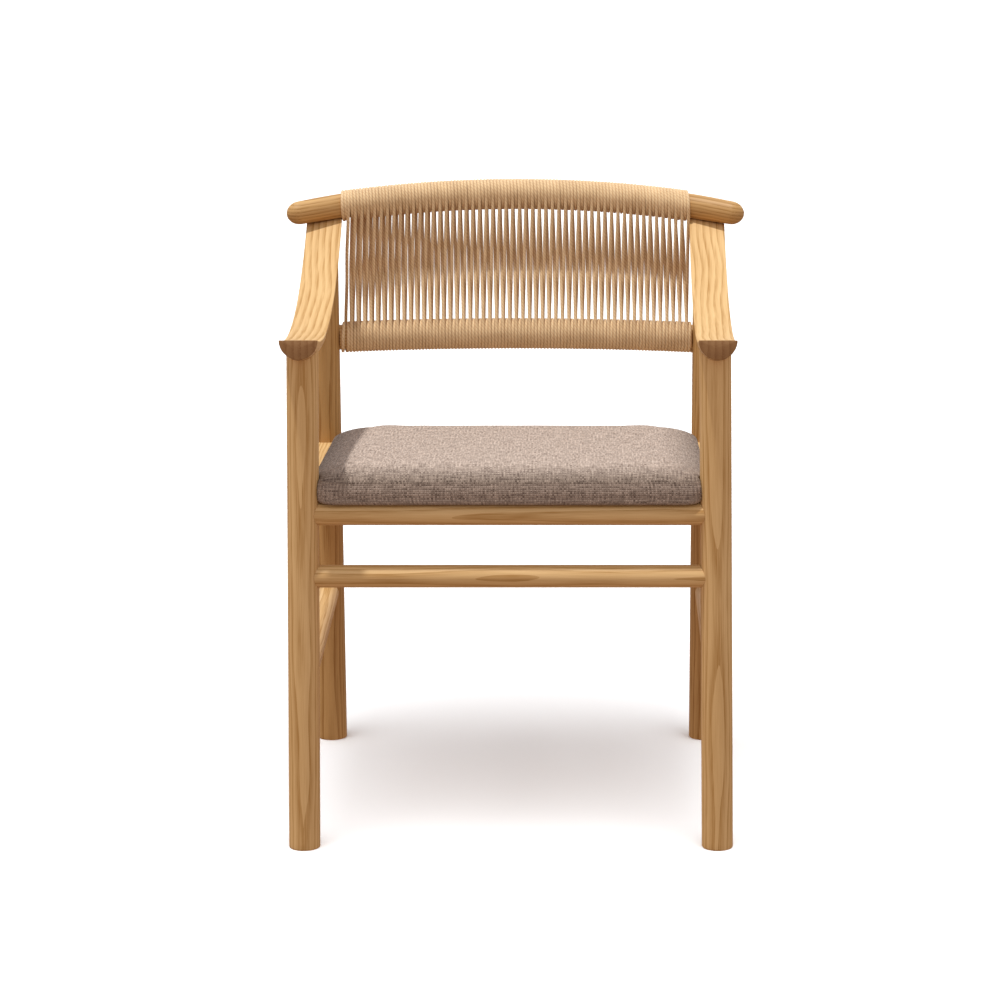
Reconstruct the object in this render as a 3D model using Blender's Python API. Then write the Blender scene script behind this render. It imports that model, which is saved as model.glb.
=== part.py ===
"""Wooden armchair with a cord-wound back and an upholstered seat.

Metres, +Z up, the sitter faces -Y.  The origin is on the floor in the middle
of the chair's overall width and depth.  Inside this file depths are first
counted from the front legs (d = 0 on their axes) and moved at the end by
DEPTH_SHIFT, which centres the whole chair on the origin.
"""

import math

import bmesh
import bpy
import numpy as np

for old in list(bpy.data.objects):
    bpy.data.objects.remove(old)

# ---------------------------------------------------------------- sizes (m)
# Legs: half spacings across, and depth counted from the front legs.
REAR_HALF = 0.2585            # rear leg axis; every other width follows this one
FRONT_FOOT_HALF = REAR_HALF + 0.0001   # front leg axis at the floor
FRONT_TOP_HALF = REAR_HALF - 0.0080    # front leg axis under the arm
LEG_DEPTH = 0.484             # front to rear leg axis at the floor
REAR_RAKE = 0.042             # forward lean of the rear legs per metre of height
FRONT_LEG_R = 0.0195
REAR_LEG_R = 0.0205
FOOT_CHAMFER = 0.0018

# Arms: half-round bars, flat side up, bent to one long arc.
ARM_WIDTH = 0.047
ARM_CURVE_R = 0.70
ARM_LOW_DEPTH = 0.12          # where the arc is lowest
ARM_LOW_Z = 0.632
ARM_FRONT_HALF = REAR_HALF - 0.0060
ARM_REAR_HALF = REAR_HALF - 0.0020
ARM_OVERHANG = 0.037          # in front of the front leg axes
ARM_SAW = 0.020               # spare length ahead of the plumb cut
ARM_TAIL = 0.016              # depth the arm runs on behind the crest rail's middle
ARM_ROOM_END = 0.060          # how far behind that middle the legs are kept clear of it

# Crest rail: round bar, bowed back in a plane that tilts up to the rear.
CREST_R = 0.0167
CREST_TIP_R = 0.0150
CREST_HALF = REAR_HALF + 0.0440
CREST_BOW_R = 0.62
CREST_TILT = math.radians(13.2)
CREST_SINK = 0.005            # how deep it beds into the arms
CREST_BEHIND_LEG = 0.0185     # its axis behind the rear leg axis, at the arm
WRAP_CREST_HALF = REAR_HALF - 0.0265   # wound part, half length
CREST_TIP_LEAST_R = 0.0012    # radius of the flat at the very tip

# Lower back rail: oval bar, bowed, between the rear legs.
LOWER_RAIL_Z = 0.5665
LOWER_RAIL_TALL = 0.034
LOWER_RAIL_THICK = 0.024
LOWER_RAIL_BOW = 0.036
WRAP_LOWER_GAP = 0.004        # bare wood between the winding and the leg

CORD_D = 0.0042
STRAND_INNER = 0.4            # a sheet of strands starts this share of a cord off the bar
WEB_TOP = 0.72                # the sheets meet the crest winding this share of its radius down
WEB_BOTTOM = 0.78             # and the lower winding this share of its half height up
WEB_END_GAP = 0.008           # from the lower winding's end to the first strand

# Seat frame and stretchers.
RAIL_R = 0.014                # round rails and stretchers
SEAT_FRONT_Z = 0.4420         # seat plane above the front rail
SEAT_RAKE = 0.0385            # how far it falls per metre of depth
SIDE_RAIL_WIDE = 0.032
SIDE_RAIL_TALL = 0.034
SIDE_RAIL_EDGE = 0.005
FRONT_STRETCHER_Z = 0.3489
SIDE_STRETCHER_Z = 0.212

# Seat pad.
PANEL_THICK = 0.010
PANEL_CLEAR = 0.0010          # between the panel or a block and the rails around it
PANEL_NOTCH = 0.024           # corner cut off the panel to clear a leg
CUSHION_HALF = REAR_HALF - 0.0175
CUSHION_THICK = 0.043         # at its front
CUSHION_TAPER = 0.20          # share of its thickness that it loses by its back
CUSHION_FRONT = 0.015         # its front face ahead of the front leg axes
CUSHION_REAR_GAP = 0.028      # between its back and the rear leg axes
CUSHION_EDGE = 0.012
CUSHION_CORNER = 0.030
COVER_THICK = 0.0016
PAD_CLEAR = 0.0010            # between the cover and the legs at its corners

# Joints.
GAP = 0.0003                  # clearance between neighbouring pieces
ARM_TENON_R = 0.011
ARM_TENON_DEEP = 0.013
RAIL_TENON_R = 0.008
RAIL_TENON_STOP = 0.003       # tenons from the sides stop this far from the leg axis
SIDE_TENON_WIDE = 0.012
SIDE_TENON_TALL = 0.022
DOWEL_R = 0.005
DOWEL_LONG = 0.022
BLOCK_SIZE = 0.050
BLOCK_TALL = 0.017
BLOCK_NOTCH = 0.012           # corner cut off a block to clear a leg
BLOCK_SCREW = 0.32            # the screw stands this share of the block in from its corner
SCREW_HEAD_R = 0.0042
SCREW_HEAD_TALL = 0.003
SCREW_R = 0.0020
SCREW_BITE = 0.006            # how far the screw enters the seat panel
SCREW_INLET = 0.001           # how deep its head is let into the block
TENON_ROOT = 0.010            # how far a tenon reaches back into its own rail

ROUND = 24                    # sides of a leg, a rail or a sleeve
BENDS = 13                    # stations along a bent bar


# ------------------------------------------------------- worked-out places
def rear_leg_depth(z):
    """Depth of the rear leg axis at height z."""
    return LEG_DEPTH - REAR_RAKE * z


def front_leg_half(z):
    """Half spacing of the front leg axes at height z."""
    return FRONT_FOOT_HALF + (FRONT_TOP_HALF - FRONT_FOOT_HALF) * z / ARM_LOW_Z


def arm_top_z(depth):
    """Height of the arm's flat top on its long arc."""
    drop = math.sqrt(ARM_CURVE_R ** 2 - (depth - ARM_LOW_DEPTH) ** 2)
    return ARM_LOW_Z + ARM_CURVE_R - drop


def seat_z(depth):
    """Height of the sloping seat plane."""
    return SEAT_FRONT_Z - SEAT_RAKE * depth


ARM_R = ARM_WIDTH / 2
CREST_ARM_DEPTH = rear_leg_depth(arm_top_z(LEG_DEPTH)) + CREST_BEHIND_LEG
CREST_LIFT = CREST_R - CREST_SINK
CREST_ARM_Z = ARM_LOW_Z + ARM_CURVE_R - math.sqrt(
    (ARM_CURVE_R - CREST_LIFT) ** 2 - (CREST_ARM_DEPTH - ARM_LOW_DEPTH) ** 2)


def bow(x, radius):
    """How far an arc of this radius falls behind its middle at x."""
    return radius - math.sqrt(radius ** 2 - x ** 2)


CREST_MID_DEPTH = CREST_ARM_DEPTH + bow(ARM_REAR_HALF, CREST_BOW_R) * math.cos(CREST_TILT)
CREST_MID_Z = CREST_ARM_Z + bow(ARM_REAR_HALF, CREST_BOW_R) * math.sin(CREST_TILT)


def crest_axis(x):
    """Point on the crest rail's axis."""
    fall = bow(x, CREST_BOW_R)
    return (x, CREST_MID_DEPTH - fall * math.cos(CREST_TILT),
            CREST_MID_Z - fall * math.sin(CREST_TILT))


LOWER_END_DEPTH = rear_leg_depth(LOWER_RAIL_Z)
LOWER_BOW_R = (REAR_HALF ** 2 + LOWER_RAIL_BOW ** 2) / (2 * LOWER_RAIL_BOW)


def lower_axis(x):
    """Point on the lower back rail's axis."""
    return (x, LOWER_END_DEPTH + LOWER_RAIL_BOW - bow(x, LOWER_BOW_R), LOWER_RAIL_Z)


def arm_axis(depth, side):
    """Point on the middle line of an arm's flat top."""
    share = (depth + ARM_OVERHANG) / (CREST_ARM_DEPTH + ARM_OVERHANG)
    half = ARM_FRONT_HALF + (ARM_REAR_HALF - ARM_FRONT_HALF) * share
    return (side * half, depth, arm_top_z(depth))


WRAP_R = CREST_R + CORD_D
DEPTH_SHIFT = -(CREST_MID_DEPTH + WRAP_R - ARM_OVERHANG) / 2
WRAP_LOWER_HALF = REAR_HALF - REAR_LEG_R - WRAP_LOWER_GAP

# ---------------------------------------------------------------- materials
FINISHES = {
    "ash": ((0.47, 0.28, 0.12), 0.45, 0.0),
    "paper_cord": ((0.55, 0.40, 0.24), 0.80, 0.0),
    "tweed": ((0.30, 0.25, 0.21), 0.95, 0.0),
    "foam": ((0.80, 0.76, 0.62), 0.90, 0.0),
    "plywood": ((0.58, 0.42, 0.25), 0.60, 0.0),
    "steel": ((0.55, 0.55, 0.56), 0.35, 1.0),
}


def make_material(name):
    """A plain surface with this finish's colour, roughness and metallic value."""
    colour, roughness, metallic = FINISHES[name]
    material = bpy.data.materials.new(name)
    material.use_nodes = True
    shader = material.node_tree.nodes["Principled BSDF"]
    shader.inputs["Base Color"].default_value = (*colour, 1.0)
    shader.inputs["Roughness"].default_value = roughness
    shader.inputs["Metallic"].default_value = metallic
    return material


# ------------------------------------------------------------ mesh helpers
def loft(name, rings, finish=None):
    """A closed solid through a row of matching closed rings, capped at both ends."""
    rings = np.asarray(rings, dtype=float)
    count, sides = rings.shape[:2]
    mesh = bpy.data.meshes.new(name)
    faces = [list(range(sides))[::-1], list(range((count - 1) * sides, count * sides))]
    for row in range(count - 1):
        for col in range(sides):
            right = (col + 1) % sides
            faces.append([row * sides + col, row * sides + right,
                          (row + 1) * sides + right, (row + 1) * sides + col])
    placed = rings.reshape(-1, 3) + np.array([0.0, DEPTH_SHIFT, 0.0])
    mesh.from_pydata(placed.tolist(), [], faces)
    work = bmesh.new()
    work.from_mesh(mesh)
    bmesh.ops.recalc_face_normals(work, faces=work.faces)
    work.to_mesh(mesh)
    work.free()
    mesh.shade_smooth()
    mesh.set_sharp_from_angle(angle=math.radians(35))
    piece = bpy.data.objects.new(name, mesh)
    bpy.context.scene.collection.objects.link(piece)
    if finish:
        mesh.materials.append(MATERIALS[finish])
    else:
        piece.hide_render = True
        piece.display_type = "WIRE"
    return piece


def cut(piece, cutter):
    """Take the cutter's shape out of the piece."""
    step = piece.modifiers.new("cut_" + cutter.name, "BOOLEAN")
    step.operation = "DIFFERENCE"
    step.object = cutter


def join(piece, other):
    """Add the other shape to the piece."""
    step = piece.modifiers.new("join_" + other.name, "BOOLEAN")
    step.operation = "UNION"
    step.object = other


def circle(radius, sides=ROUND):
    """Outline of a round section."""
    turn = np.arange(sides) * 2 * math.pi / sides
    return np.column_stack([radius * np.cos(turn), radius * np.sin(turn)])


def oval(wide, tall):
    """Outline of an oval section, wide along u and tall along v."""
    return circle(1.0) * np.array([wide / 2, tall / 2])


def soft_box(wide, tall, edge, steps=4):
    """Outline of a rectangle with rounded corners."""
    points = []
    for corner, (su, sv) in enumerate([(1, 1), (-1, 1), (-1, -1), (1, -1)]):
        for step in range(steps + 1):
            turn = (corner + step / steps) * math.pi / 2
            points.append((su * (wide / 2 - edge) + edge * math.cos(turn),
                           sv * (tall / 2 - edge) + edge * math.sin(turn)))
    return np.array(points)


def across_path(path, outline):
    """Rings square to a path that bends in plan or in height; u to the side, v up."""
    path = np.asarray(path, dtype=float)
    ahead = np.gradient(path, axis=0)
    rings = []
    for point, way in zip(path, ahead):
        way = way / np.linalg.norm(way)
        side = np.cross(way, (0.0, 0.0, 1.0))
        side = side / np.linalg.norm(side)
        up = np.cross(side, way)
        rings.append([point + side * u + up * v for u, v in outline])
    return rings


def bar(name, start, end, radius, finish=None, sides=ROUND):
    """A straight round bar."""
    return loft(name, across_path([start, end], circle(radius, sides)), finish)


def post(name, start, end, radius, finish=None, chamfer=0.0):
    """A leaning post with level rings, and a chamfer at its foot."""
    start, end = np.array(start), np.array(end)
    levels = [start, start + (end - start) * chamfer / (end[2] - start[2]), end]
    radii = [radius - chamfer, radius, radius]
    if not chamfer:
        levels, radii = [start, end], [radius, radius]
    rings = [np.column_stack([circle(size), np.zeros(ROUND)]) + level
             for level, size in zip(levels, radii)]
    return loft(name, rings, finish)


# --------------------------------------------------------------- the arms
def arm_path(side, start, end):
    """Points along an arm's flat top between two depths."""
    return [arm_axis(depth, side) for depth in np.linspace(start, end, BENDS)]


def arm_outline(radius, rise=0.0, flare=0.0, steps=14):
    """Half-round outline, flat side up; a cutter also clears the room above."""
    turn = np.pi + np.arange(steps + 1) * math.pi / steps
    points = [(radius * math.cos(a), radius * math.sin(a)) for a in turn]
    if rise:
        points += [(flare, 0.0), (flare, rise), (-flare, rise), (-flare, 0.0)]
    return points


def side_name(side):
    """The sitter faces the viewer, so sides are named as seen from the front."""
    return "left" if side < 0 else "right"


def make_arm(side):
    """One arm, with a plumb front end and its rear end under the crest rail."""
    name = "armrest_" + side_name(side)
    path = arm_path(side, -ARM_OVERHANG - ARM_SAW, CREST_ARM_DEPTH + ARM_TAIL)
    arm = loft(name, across_path(path, arm_outline(ARM_R)), "ash")
    half, front, top = arm_axis(-ARM_OVERHANG, side)
    ahead = front - 2 * ARM_SAW
    waste = [(half - ARM_WIDTH, ahead), (half + ARM_WIDTH, ahead),
             (half + ARM_WIDTH, front), (half - ARM_WIDTH, front)]
    cut(arm, loft("saw_" + name, [[(x, y, z) for x, y in waste]
                                  for z in (top - ARM_WIDTH, top + ARM_WIDTH)]))
    return arm


def arm_clearance(side):
    """Everything a leg has to leave free for the arm above it."""
    path = arm_path(side, -ARM_OVERHANG - ARM_SAW, CREST_ARM_DEPTH + ARM_TAIL)
    path.append(arm_axis(CREST_ARM_DEPTH + ARM_ROOM_END, side))
    rings = across_path(path, arm_outline(ARM_R + GAP, rise=0.08, flare=0.07))
    return loft("arm_room_" + side_name(side), rings)


# --------------------------------------------------------------- the legs
def front_axis(side, z):
    """Point on a front leg's axis."""
    return (side * front_leg_half(z), 0.0, z)


def rear_axis(side, z):
    """Point on a rear leg's axis."""
    return (side * REAR_HALF, rear_leg_depth(z), z)


def make_leg(name, axis, side, radius, arm_depth):
    """A leg from the floor to the arm: its head is coped to the arm and has a tenon."""
    top = arm_top_z(arm_depth)
    leg = post(name, axis(side, 0.0), axis(side, top), radius, "ash", FOOT_CHAMFER)
    cut(leg, ARM_ROOM[side])
    tenon_base = axis(side, top - ARM_R - radius)
    tenon_tip = axis(side, top - ARM_R + ARM_TENON_DEEP)
    join(leg, post("tenon_" + name, tenon_base, tenon_tip, ARM_TENON_R))
    socket_tip = axis(side, top - ARM_R + ARM_TENON_DEEP + GAP)
    cut(ARMS[side], post("socket_" + name, tenon_base, socket_tip, ARM_TENON_R + GAP))
    return leg


# ------------------------------------------------- rails between two legs
def leg_room(name, axis, side, radius):
    """A leg's body grown by the gap, which copes the rails that meet it."""
    return post("room_" + name, axis(side, -0.01), axis(side, ARM_LOW_Z + 0.15), radius + GAP)


def round_tenon(rail, leg, base, tip):
    """A round tenon on a rail's end, and its socket in the leg."""
    label = rail.name + "_" + leg.name
    join(rail, bar("tenon_" + label, base, tip, RAIL_TENON_R))
    base, tip = np.array(base), np.array(tip)
    way = (tip - base) / np.linalg.norm(tip - base)
    cut(leg, bar("socket_" + label, base, tip + way * GAP, RAIL_TENON_R + GAP))


def cross_rail(name, axis, legs, rooms, z, radius_of_leg):
    """A straight round rail across the chair, coped to both legs.

    Returns the rail's clearance shape, for pieces that are fitted against it.
    """
    ends = [axis(-1, z), axis(1, z)]
    rail = bar(name, ends[0], ends[1], RAIL_R, "ash")
    for side in (-1, 1):
        cut(rail, rooms[side])
        x, y, _ = axis(side, z)
        inside = side * (abs(x) - radius_of_leg - TENON_ROOT)
        round_tenon(rail, legs[side], (inside, y, z), (x - side * RAIL_TENON_STOP, y, z))
    return bar("room_" + name, ends[0], ends[1], RAIL_R + GAP)


def make_side_stretcher(side):
    """The level round stretcher between a front and a rear leg."""
    z = SIDE_STRETCHER_Z
    start, end = np.array(front_axis(side, z)), np.array(rear_axis(side, z))
    rail = bar("side_stretcher_" + side_name(side), start, end, RAIL_R, "ash")
    cut(rail, FRONT_ROOM[side])
    cut(rail, REAR_ROOM[side])
    way = (end - start) / np.linalg.norm(end - start)
    for leg, foot, ahead, radius in ((FRONT_LEGS[side], start, way, FRONT_LEG_R),
                                     (REAR_LEGS[side], end, -way, REAR_LEG_R)):
        round_tenon(rail, leg, foot + ahead * (radius + TENON_ROOT), foot - ahead * RAIL_TENON_STOP)
    return rail


def make_side_seat_rail(side, seat_rail_rooms):
    """The board under the cushion's side: flat on top, in the seat plane."""
    name = "side_seat_rail_" + side_name(side)
    drop = SIDE_RAIL_TALL / 2 + GAP
    z0 = seat_z(0.0) - drop
    z1 = seat_z(rear_leg_depth(z0)) - drop
    start, end = np.array(front_axis(side, z0)), np.array(rear_axis(side, z1))
    section = soft_box(SIDE_RAIL_WIDE, SIDE_RAIL_TALL, SIDE_RAIL_EDGE)
    rail = loft(name, across_path([start, end], section), "ash")
    for neighbour in (FRONT_ROOM[side], REAR_ROOM[side], *seat_rail_rooms):
        cut(rail, neighbour)
    way = (end - start) / np.linalg.norm(end - start)
    stop = RAIL_TENON_R + 2 * GAP + PANEL_CLEAR
    for leg, foot, ahead, radius in ((FRONT_LEGS[side], start, way, FRONT_LEG_R),
                                     (REAR_LEGS[side], end, -way, REAR_LEG_R)):
        label = name + "_" + leg.name
        base, tip = foot + ahead * (radius + TENON_ROOT), foot + ahead * stop
        tenon = soft_box(SIDE_TENON_WIDE, SIDE_TENON_TALL, 0.002)
        socket = soft_box(SIDE_TENON_WIDE + 2 * GAP, SIDE_TENON_TALL + 2 * GAP, 0.002)
        join(rail, loft("tenon_" + label, across_path([base, tip], tenon)))
        cut(leg, loft("socket_" + label, across_path([base, tip - ahead * GAP], socket)))
    return rail


# ------------------------------------------------------------- the back
def crest_scale(x):
    """The bar keeps its full size to the arms, then thins and rounds over at its tips."""
    beyond = max(0.0, abs(x) - WRAP_CREST_HALF) / (CREST_HALF - WRAP_CREST_HALF)
    size = CREST_R + (CREST_TIP_R - CREST_R) * beyond
    end = CREST_HALF - abs(x)
    if end < CREST_TIP_R:
        size *= math.sqrt(max(0.0, 1 - (1 - end / CREST_TIP_R) ** 2))
    return max(size, CREST_TIP_LEAST_R)


def crest_rings(grow):
    """Rings of the crest rail, or of a clearance around all but its rounded tips."""
    inner = CREST_HALF - CREST_TIP_R
    stations = np.linspace(-inner, inner, 19)
    if grow == 0.0:
        turn = np.linspace(0.06, 1.0, 6)[:-1] * math.pi / 2
        tip = CREST_HALF - CREST_TIP_R * (1 - np.cos(turn))
        stations = np.concatenate([-tip, stations, tip[::-1]])
    path = [crest_axis(x) for x in stations]
    return sweep_bow(path, [crest_scale(x) + grow for x in stations])


def sweep_bow(path, radii):
    """Round rings square to a bowed path."""
    path = np.asarray(path)
    ahead = np.gradient(path, axis=0)
    rings = []
    for point, way, radius in zip(path, ahead, radii):
        way = way / np.linalg.norm(way)
        up = np.array([0.0, 0.0, 1.0]) - way * way[2]
        up = up / np.linalg.norm(up)
        side = np.cross(up, way)
        rings.append([point + side * u + up * v for u, v in circle(radius)])
    return rings


def make_crest():
    """The bowed top rail, bedded on both arms and held by a dowel in each."""
    crest = loft("crest_rail", crest_rings(0.0), "ash")
    bed = loft("crest_bed", crest_rings(GAP))
    for side in (-1, 1):
        cut(ARMS[side], bed)
        x, y, z = crest_axis(side * ARM_REAR_HALF)
        lean = math.asin((CREST_ARM_DEPTH - ARM_LOW_DEPTH) / ARM_CURVE_R)
        down = np.array([0.0, math.sin(lean), -math.cos(lean)])
        middle = np.array([x, y, z]) + down * (CREST_R - CREST_SINK / 2)
        half = DOWEL_LONG / 2
        dowel = bar("crest_dowel_" + side_name(side), middle - down * half,
                    middle + down * half, DOWEL_R, "ash", 16)
        bore = bar("bore_" + dowel.name, middle - down * (half + GAP),
                   middle + down * (half + GAP), DOWEL_R + GAP, None, 16)
        cut(crest, bore)
        cut(ARMS[side], bore)
        cut(REAR_LEGS[side], bore)
    return crest


def lower_rings(grow, half):
    """Rings of the oval lower rail, or of a clearance around it."""
    outline = oval(LOWER_RAIL_THICK + 2 * grow, LOWER_RAIL_TALL + 2 * grow)
    path = [lower_axis(x) for x in np.linspace(-half, half, BENDS)]
    return across_path(path, outline)


def make_lower_rail():
    """The oval rail that the winding hangs on, tenoned into the rear legs."""
    rail = loft("lower_back_rail", lower_rings(0.0, REAR_HALF), "ash")
    for side in (-1, 1):
        cut(rail, REAR_ROOM[side])
        x, y, z = lower_axis(side * REAR_HALF)
        inside = lower_axis(side * (REAR_HALF - REAR_LEG_R - 0.006))
        tip = (x - side * RAIL_TENON_STOP, y, z)
        round_tenon(rail, REAR_LEGS[side], inside, tip)
    return rail


def make_wraps():
    """The wound cord on both rails, as plain sleeves."""
    crest = [crest_axis(x) for x in np.linspace(-WRAP_CREST_HALF, WRAP_CREST_HALF, BENDS)]
    sleeve = loft("crest_cord_wrap", sweep_bow(crest, [WRAP_R] * BENDS), "paper_cord")
    cut(sleeve, loft("crest_core", crest_rings(GAP)))
    lower = loft("lower_cord_wrap", lower_rings(CORD_D, WRAP_LOWER_HALF), "paper_cord")
    cut(lower, loft("lower_core", lower_rings(GAP, REAR_HALF - 0.005)))


def crossing(p, q, r, s):
    """Where the line p-q meets the line r-s, in depth and height."""
    p, q, r, s = (np.array(point) for point in (p, q, r, s))
    along, other = q - p, s - r
    size = along[0] * other[1] - along[1] * other[0]
    share = ((r - p)[0] * other[1] - (r - p)[1] * other[0]) / size
    return tuple(p + along * share)


def web_section(x):
    """Both sheets of strands, which cross between the rails, as one X outline."""
    _, crest_y, crest_z = crest_axis(x)
    _, lower_y, lower_z = lower_axis(x)
    top = crest_z - WEB_TOP * WRAP_R
    bottom = lower_z + WEB_BOTTOM * (LOWER_RAIL_TALL / 2 + CORD_D)
    inner_top, outer_top = CREST_R + STRAND_INNER * CORD_D, WRAP_R
    inner_low = LOWER_RAIL_THICK / 2 + STRAND_INNER * CORD_D
    outer_low = LOWER_RAIL_THICK / 2 + CORD_D
    a_front = [(crest_y - outer_top, top), (lower_y + inner_low, bottom)]
    a_back = [(crest_y - inner_top, top), (lower_y + outer_low, bottom)]
    b_front = [(crest_y + inner_top, top), (lower_y - outer_low, bottom)]
    b_back = [(crest_y + outer_top, top), (lower_y - inner_low, bottom)]
    outline = [a_front[0], a_back[0], crossing(*a_back, *b_front), b_front[0], b_back[0],
               crossing(*a_back, *b_back), a_back[1], a_front[1],
               crossing(*a_front, *b_back), b_back[1], b_front[1],
               crossing(*a_front, *b_front)]
    return [(x, y, z) for y, z in outline]


def make_web():
    """The strands between the rails, as one plain solid."""
    half = WRAP_LOWER_HALF - WEB_END_GAP
    loft("cord_web", [web_section(x) for x in np.linspace(-half, half, BENDS)], "paper_cord")


# -------------------------------------------------------------- the seat
REAR_RAIL_Z = seat_z(LEG_DEPTH) - GAP - RAIL_R
REAR_RAIL_DEPTH = rear_leg_depth(REAR_RAIL_Z)


def side_rail_inner(depth):
    """Half width between the side seat rails at this depth."""
    front = front_leg_half(SEAT_FRONT_Z)
    share = depth / REAR_RAIL_DEPTH
    return front + (REAR_HALF - front) * share - SIDE_RAIL_WIDE / 2


def make_panel():
    """The plywood board that carries the pad, let in between the rails."""
    front = RAIL_R + GAP + PANEL_CLEAR
    back = REAR_RAIL_DEPTH - RAIL_R - GAP - PANEL_CLEAR
    clear = 3 * GAP
    plan = [(side_rail_inner(front) - clear - PANEL_NOTCH, front),
            (side_rail_inner(front) - clear, front + PANEL_NOTCH),
            (side_rail_inner(back) - clear, back - PANEL_NOTCH),
            (side_rail_inner(back) - clear - PANEL_NOTCH, back)]
    plan = plan + [(-x, y) for x, y in plan[::-1]]
    rings = [[(x, y, seat_z(y) - GAP - drop) for x, y in plan] for drop in (PANEL_THICK, 0.0)]
    return loft("seat_panel", rings, "plywood")


def make_block(x_side, y_side):
    """A triangular glue block in a corner of the frame, screwed up into the panel."""
    place = ("front_" if y_side < 0 else "rear_") + side_name(x_side)
    if y_side < 0:
        y0 = RAIL_R + 2 * GAP + PANEL_CLEAR
    else:
        y0 = REAR_RAIL_DEPTH - RAIL_R - 2 * GAP - PANEL_CLEAR
    x0 = min(side_rail_inner(y0), side_rail_inner(y0 - y_side * BLOCK_SIZE)) - GAP
    plan = [(x_side * x0, y0 - y_side * BLOCK_NOTCH), (x_side * (x0 - BLOCK_NOTCH), y0),
            (x_side * (x0 - BLOCK_SIZE), y0), (x_side * x0, y0 - y_side * BLOCK_SIZE)]
    under = PANEL_THICK + 2 * GAP
    rings = [[(x, y, seat_z(y) - drop) for x, y in plan] for drop in (under + BLOCK_TALL, under)]
    block = loft("corner_block_" + place, rings, "ash")
    screw_x = x_side * (x0 - BLOCK_SIZE * BLOCK_SCREW)
    screw_y = y0 - y_side * BLOCK_SIZE * BLOCK_SCREW
    make_screw(place, block, screw_x, screw_y, seat_z(screw_y) - under - BLOCK_TALL)
    return block


def screw_rings(x, y, base, grow):
    """Head, neck and shank of a screw that is driven upwards."""
    under = PANEL_THICK + 2 * GAP
    tip = base + BLOCK_TALL + under - PANEL_THICK + SCREW_BITE
    levels = [(base - (2 * SCREW_INLET if grow else 0.0), SCREW_HEAD_R + grow),
              (base + SCREW_HEAD_TALL + grow, SCREW_HEAD_R + grow),
              (base + SCREW_HEAD_TALL + grow, SCREW_R + grow), (tip + grow, SCREW_R + grow)]
    return [[(x + u, y + v, z) for u, v in circle(radius, 12)] for z, radius in levels]


def make_screw(place, block, x, y, base):
    """A panel screw with its head let into the block's underside."""
    base = base + SCREW_INLET
    loft("seat_screw_" + place, screw_rings(x, y, base, 0.0), "steel")
    room = loft("screw_room_" + place, screw_rings(x, y, base, GAP))
    cut(block, room)
    cut(PANEL, room)


PAD_FRONT = -CUSHION_FRONT
PAD_BACK = rear_leg_depth(SEAT_FRONT_Z) - CUSHION_REAR_GAP


def pad_z(depth, height):
    """Height of a point of the pad, which thins evenly from its front to its back."""
    share = (depth - PAD_FRONT) / (PAD_BACK - PAD_FRONT)
    return seat_z(depth) + GAP + height * (1 - CUSHION_TAPER * share)


def pad_rings(inset, base=0.0, steps=4):
    """The pad's block shrunk by inset: round corners in plan and a rounded upper edge."""
    half, corner = CUSHION_HALF - inset, CUSHION_CORNER - inset
    thick, edge = CUSHION_THICK - inset, CUSHION_EDGE - inset
    front, back = PAD_FRONT + inset, PAD_BACK - inset
    turn = np.arange(steps + 1) * math.pi / 2 / steps
    shoulders = [(base, 0.0), (thick - edge, 0.0)]
    shoulders += [(thick - edge + edge * math.sin(a), edge * (1 - math.cos(a))) for a in turn[1:]]
    rings = []
    for height, inward in shoulders:
        radius = corner - inward
        plan = []
        for quarter, (sx, sy) in enumerate([(1, 1), (-1, 1), (-1, -1), (1, -1)]):
            centre = (sx * (half - corner), (back - corner) if sy > 0 else (front + corner))
            for a in turn:
                around = a + quarter * math.pi / 2
                plan.append((centre[0] + radius * math.cos(around),
                             centre[1] + radius * math.sin(around)))
        rings.append([(x, y, pad_z(y, height)) for x, y in plan])
    return rings


def notch_corners(piece, clear):
    """Take the front legs, grown by this clearance, out of a pad's corners."""
    for side in (-1, 1):
        foot, head = front_axis(side, SEAT_FRONT_Z - 0.03), front_axis(side, SEAT_FRONT_Z + 0.09)
        room = post(f"corner_{piece.name}_{side_name(side)}", foot, head, FRONT_LEG_R + clear)
        cut(piece, room)


def make_pad():
    """The foam block and the sewn cover over it, open below."""
    cover = loft("seat_cover", pad_rings(0.0), "tweed")
    notch_corners(cover, PAD_CLEAR)
    room = loft("pad_room", pad_rings(COVER_THICK, base=-CUSHION_EDGE))
    notch_corners(room, PAD_CLEAR + COVER_THICK)
    cut(cover, room)
    foam = loft("seat_foam", pad_rings(COVER_THICK + GAP), "foam")
    notch_corners(foam, PAD_CLEAR + COVER_THICK + GAP)


# ------------------------------------------------------------ put together
MATERIALS = {finish: make_material(finish) for finish in FINISHES}

ARMS = {side: make_arm(side) for side in (-1, 1)}
ARM_ROOM = {side: arm_clearance(side) for side in (-1, 1)}
REAR_TOP_DEPTH = rear_leg_depth(arm_top_z(LEG_DEPTH))
FRONT_LEGS = {side: make_leg("front_leg_" + side_name(side), front_axis, side,
                             FRONT_LEG_R, 0.0) for side in (-1, 1)}
REAR_LEGS = {side: make_leg("rear_leg_" + side_name(side), rear_axis, side,
                            REAR_LEG_R, REAR_TOP_DEPTH) for side in (-1, 1)}
FRONT_ROOM = {side: leg_room(FRONT_LEGS[side].name, front_axis, side, FRONT_LEG_R)
              for side in (-1, 1)}
REAR_ROOM = {side: leg_room(REAR_LEGS[side].name, rear_axis, side, REAR_LEG_R)
             for side in (-1, 1)}

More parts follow.
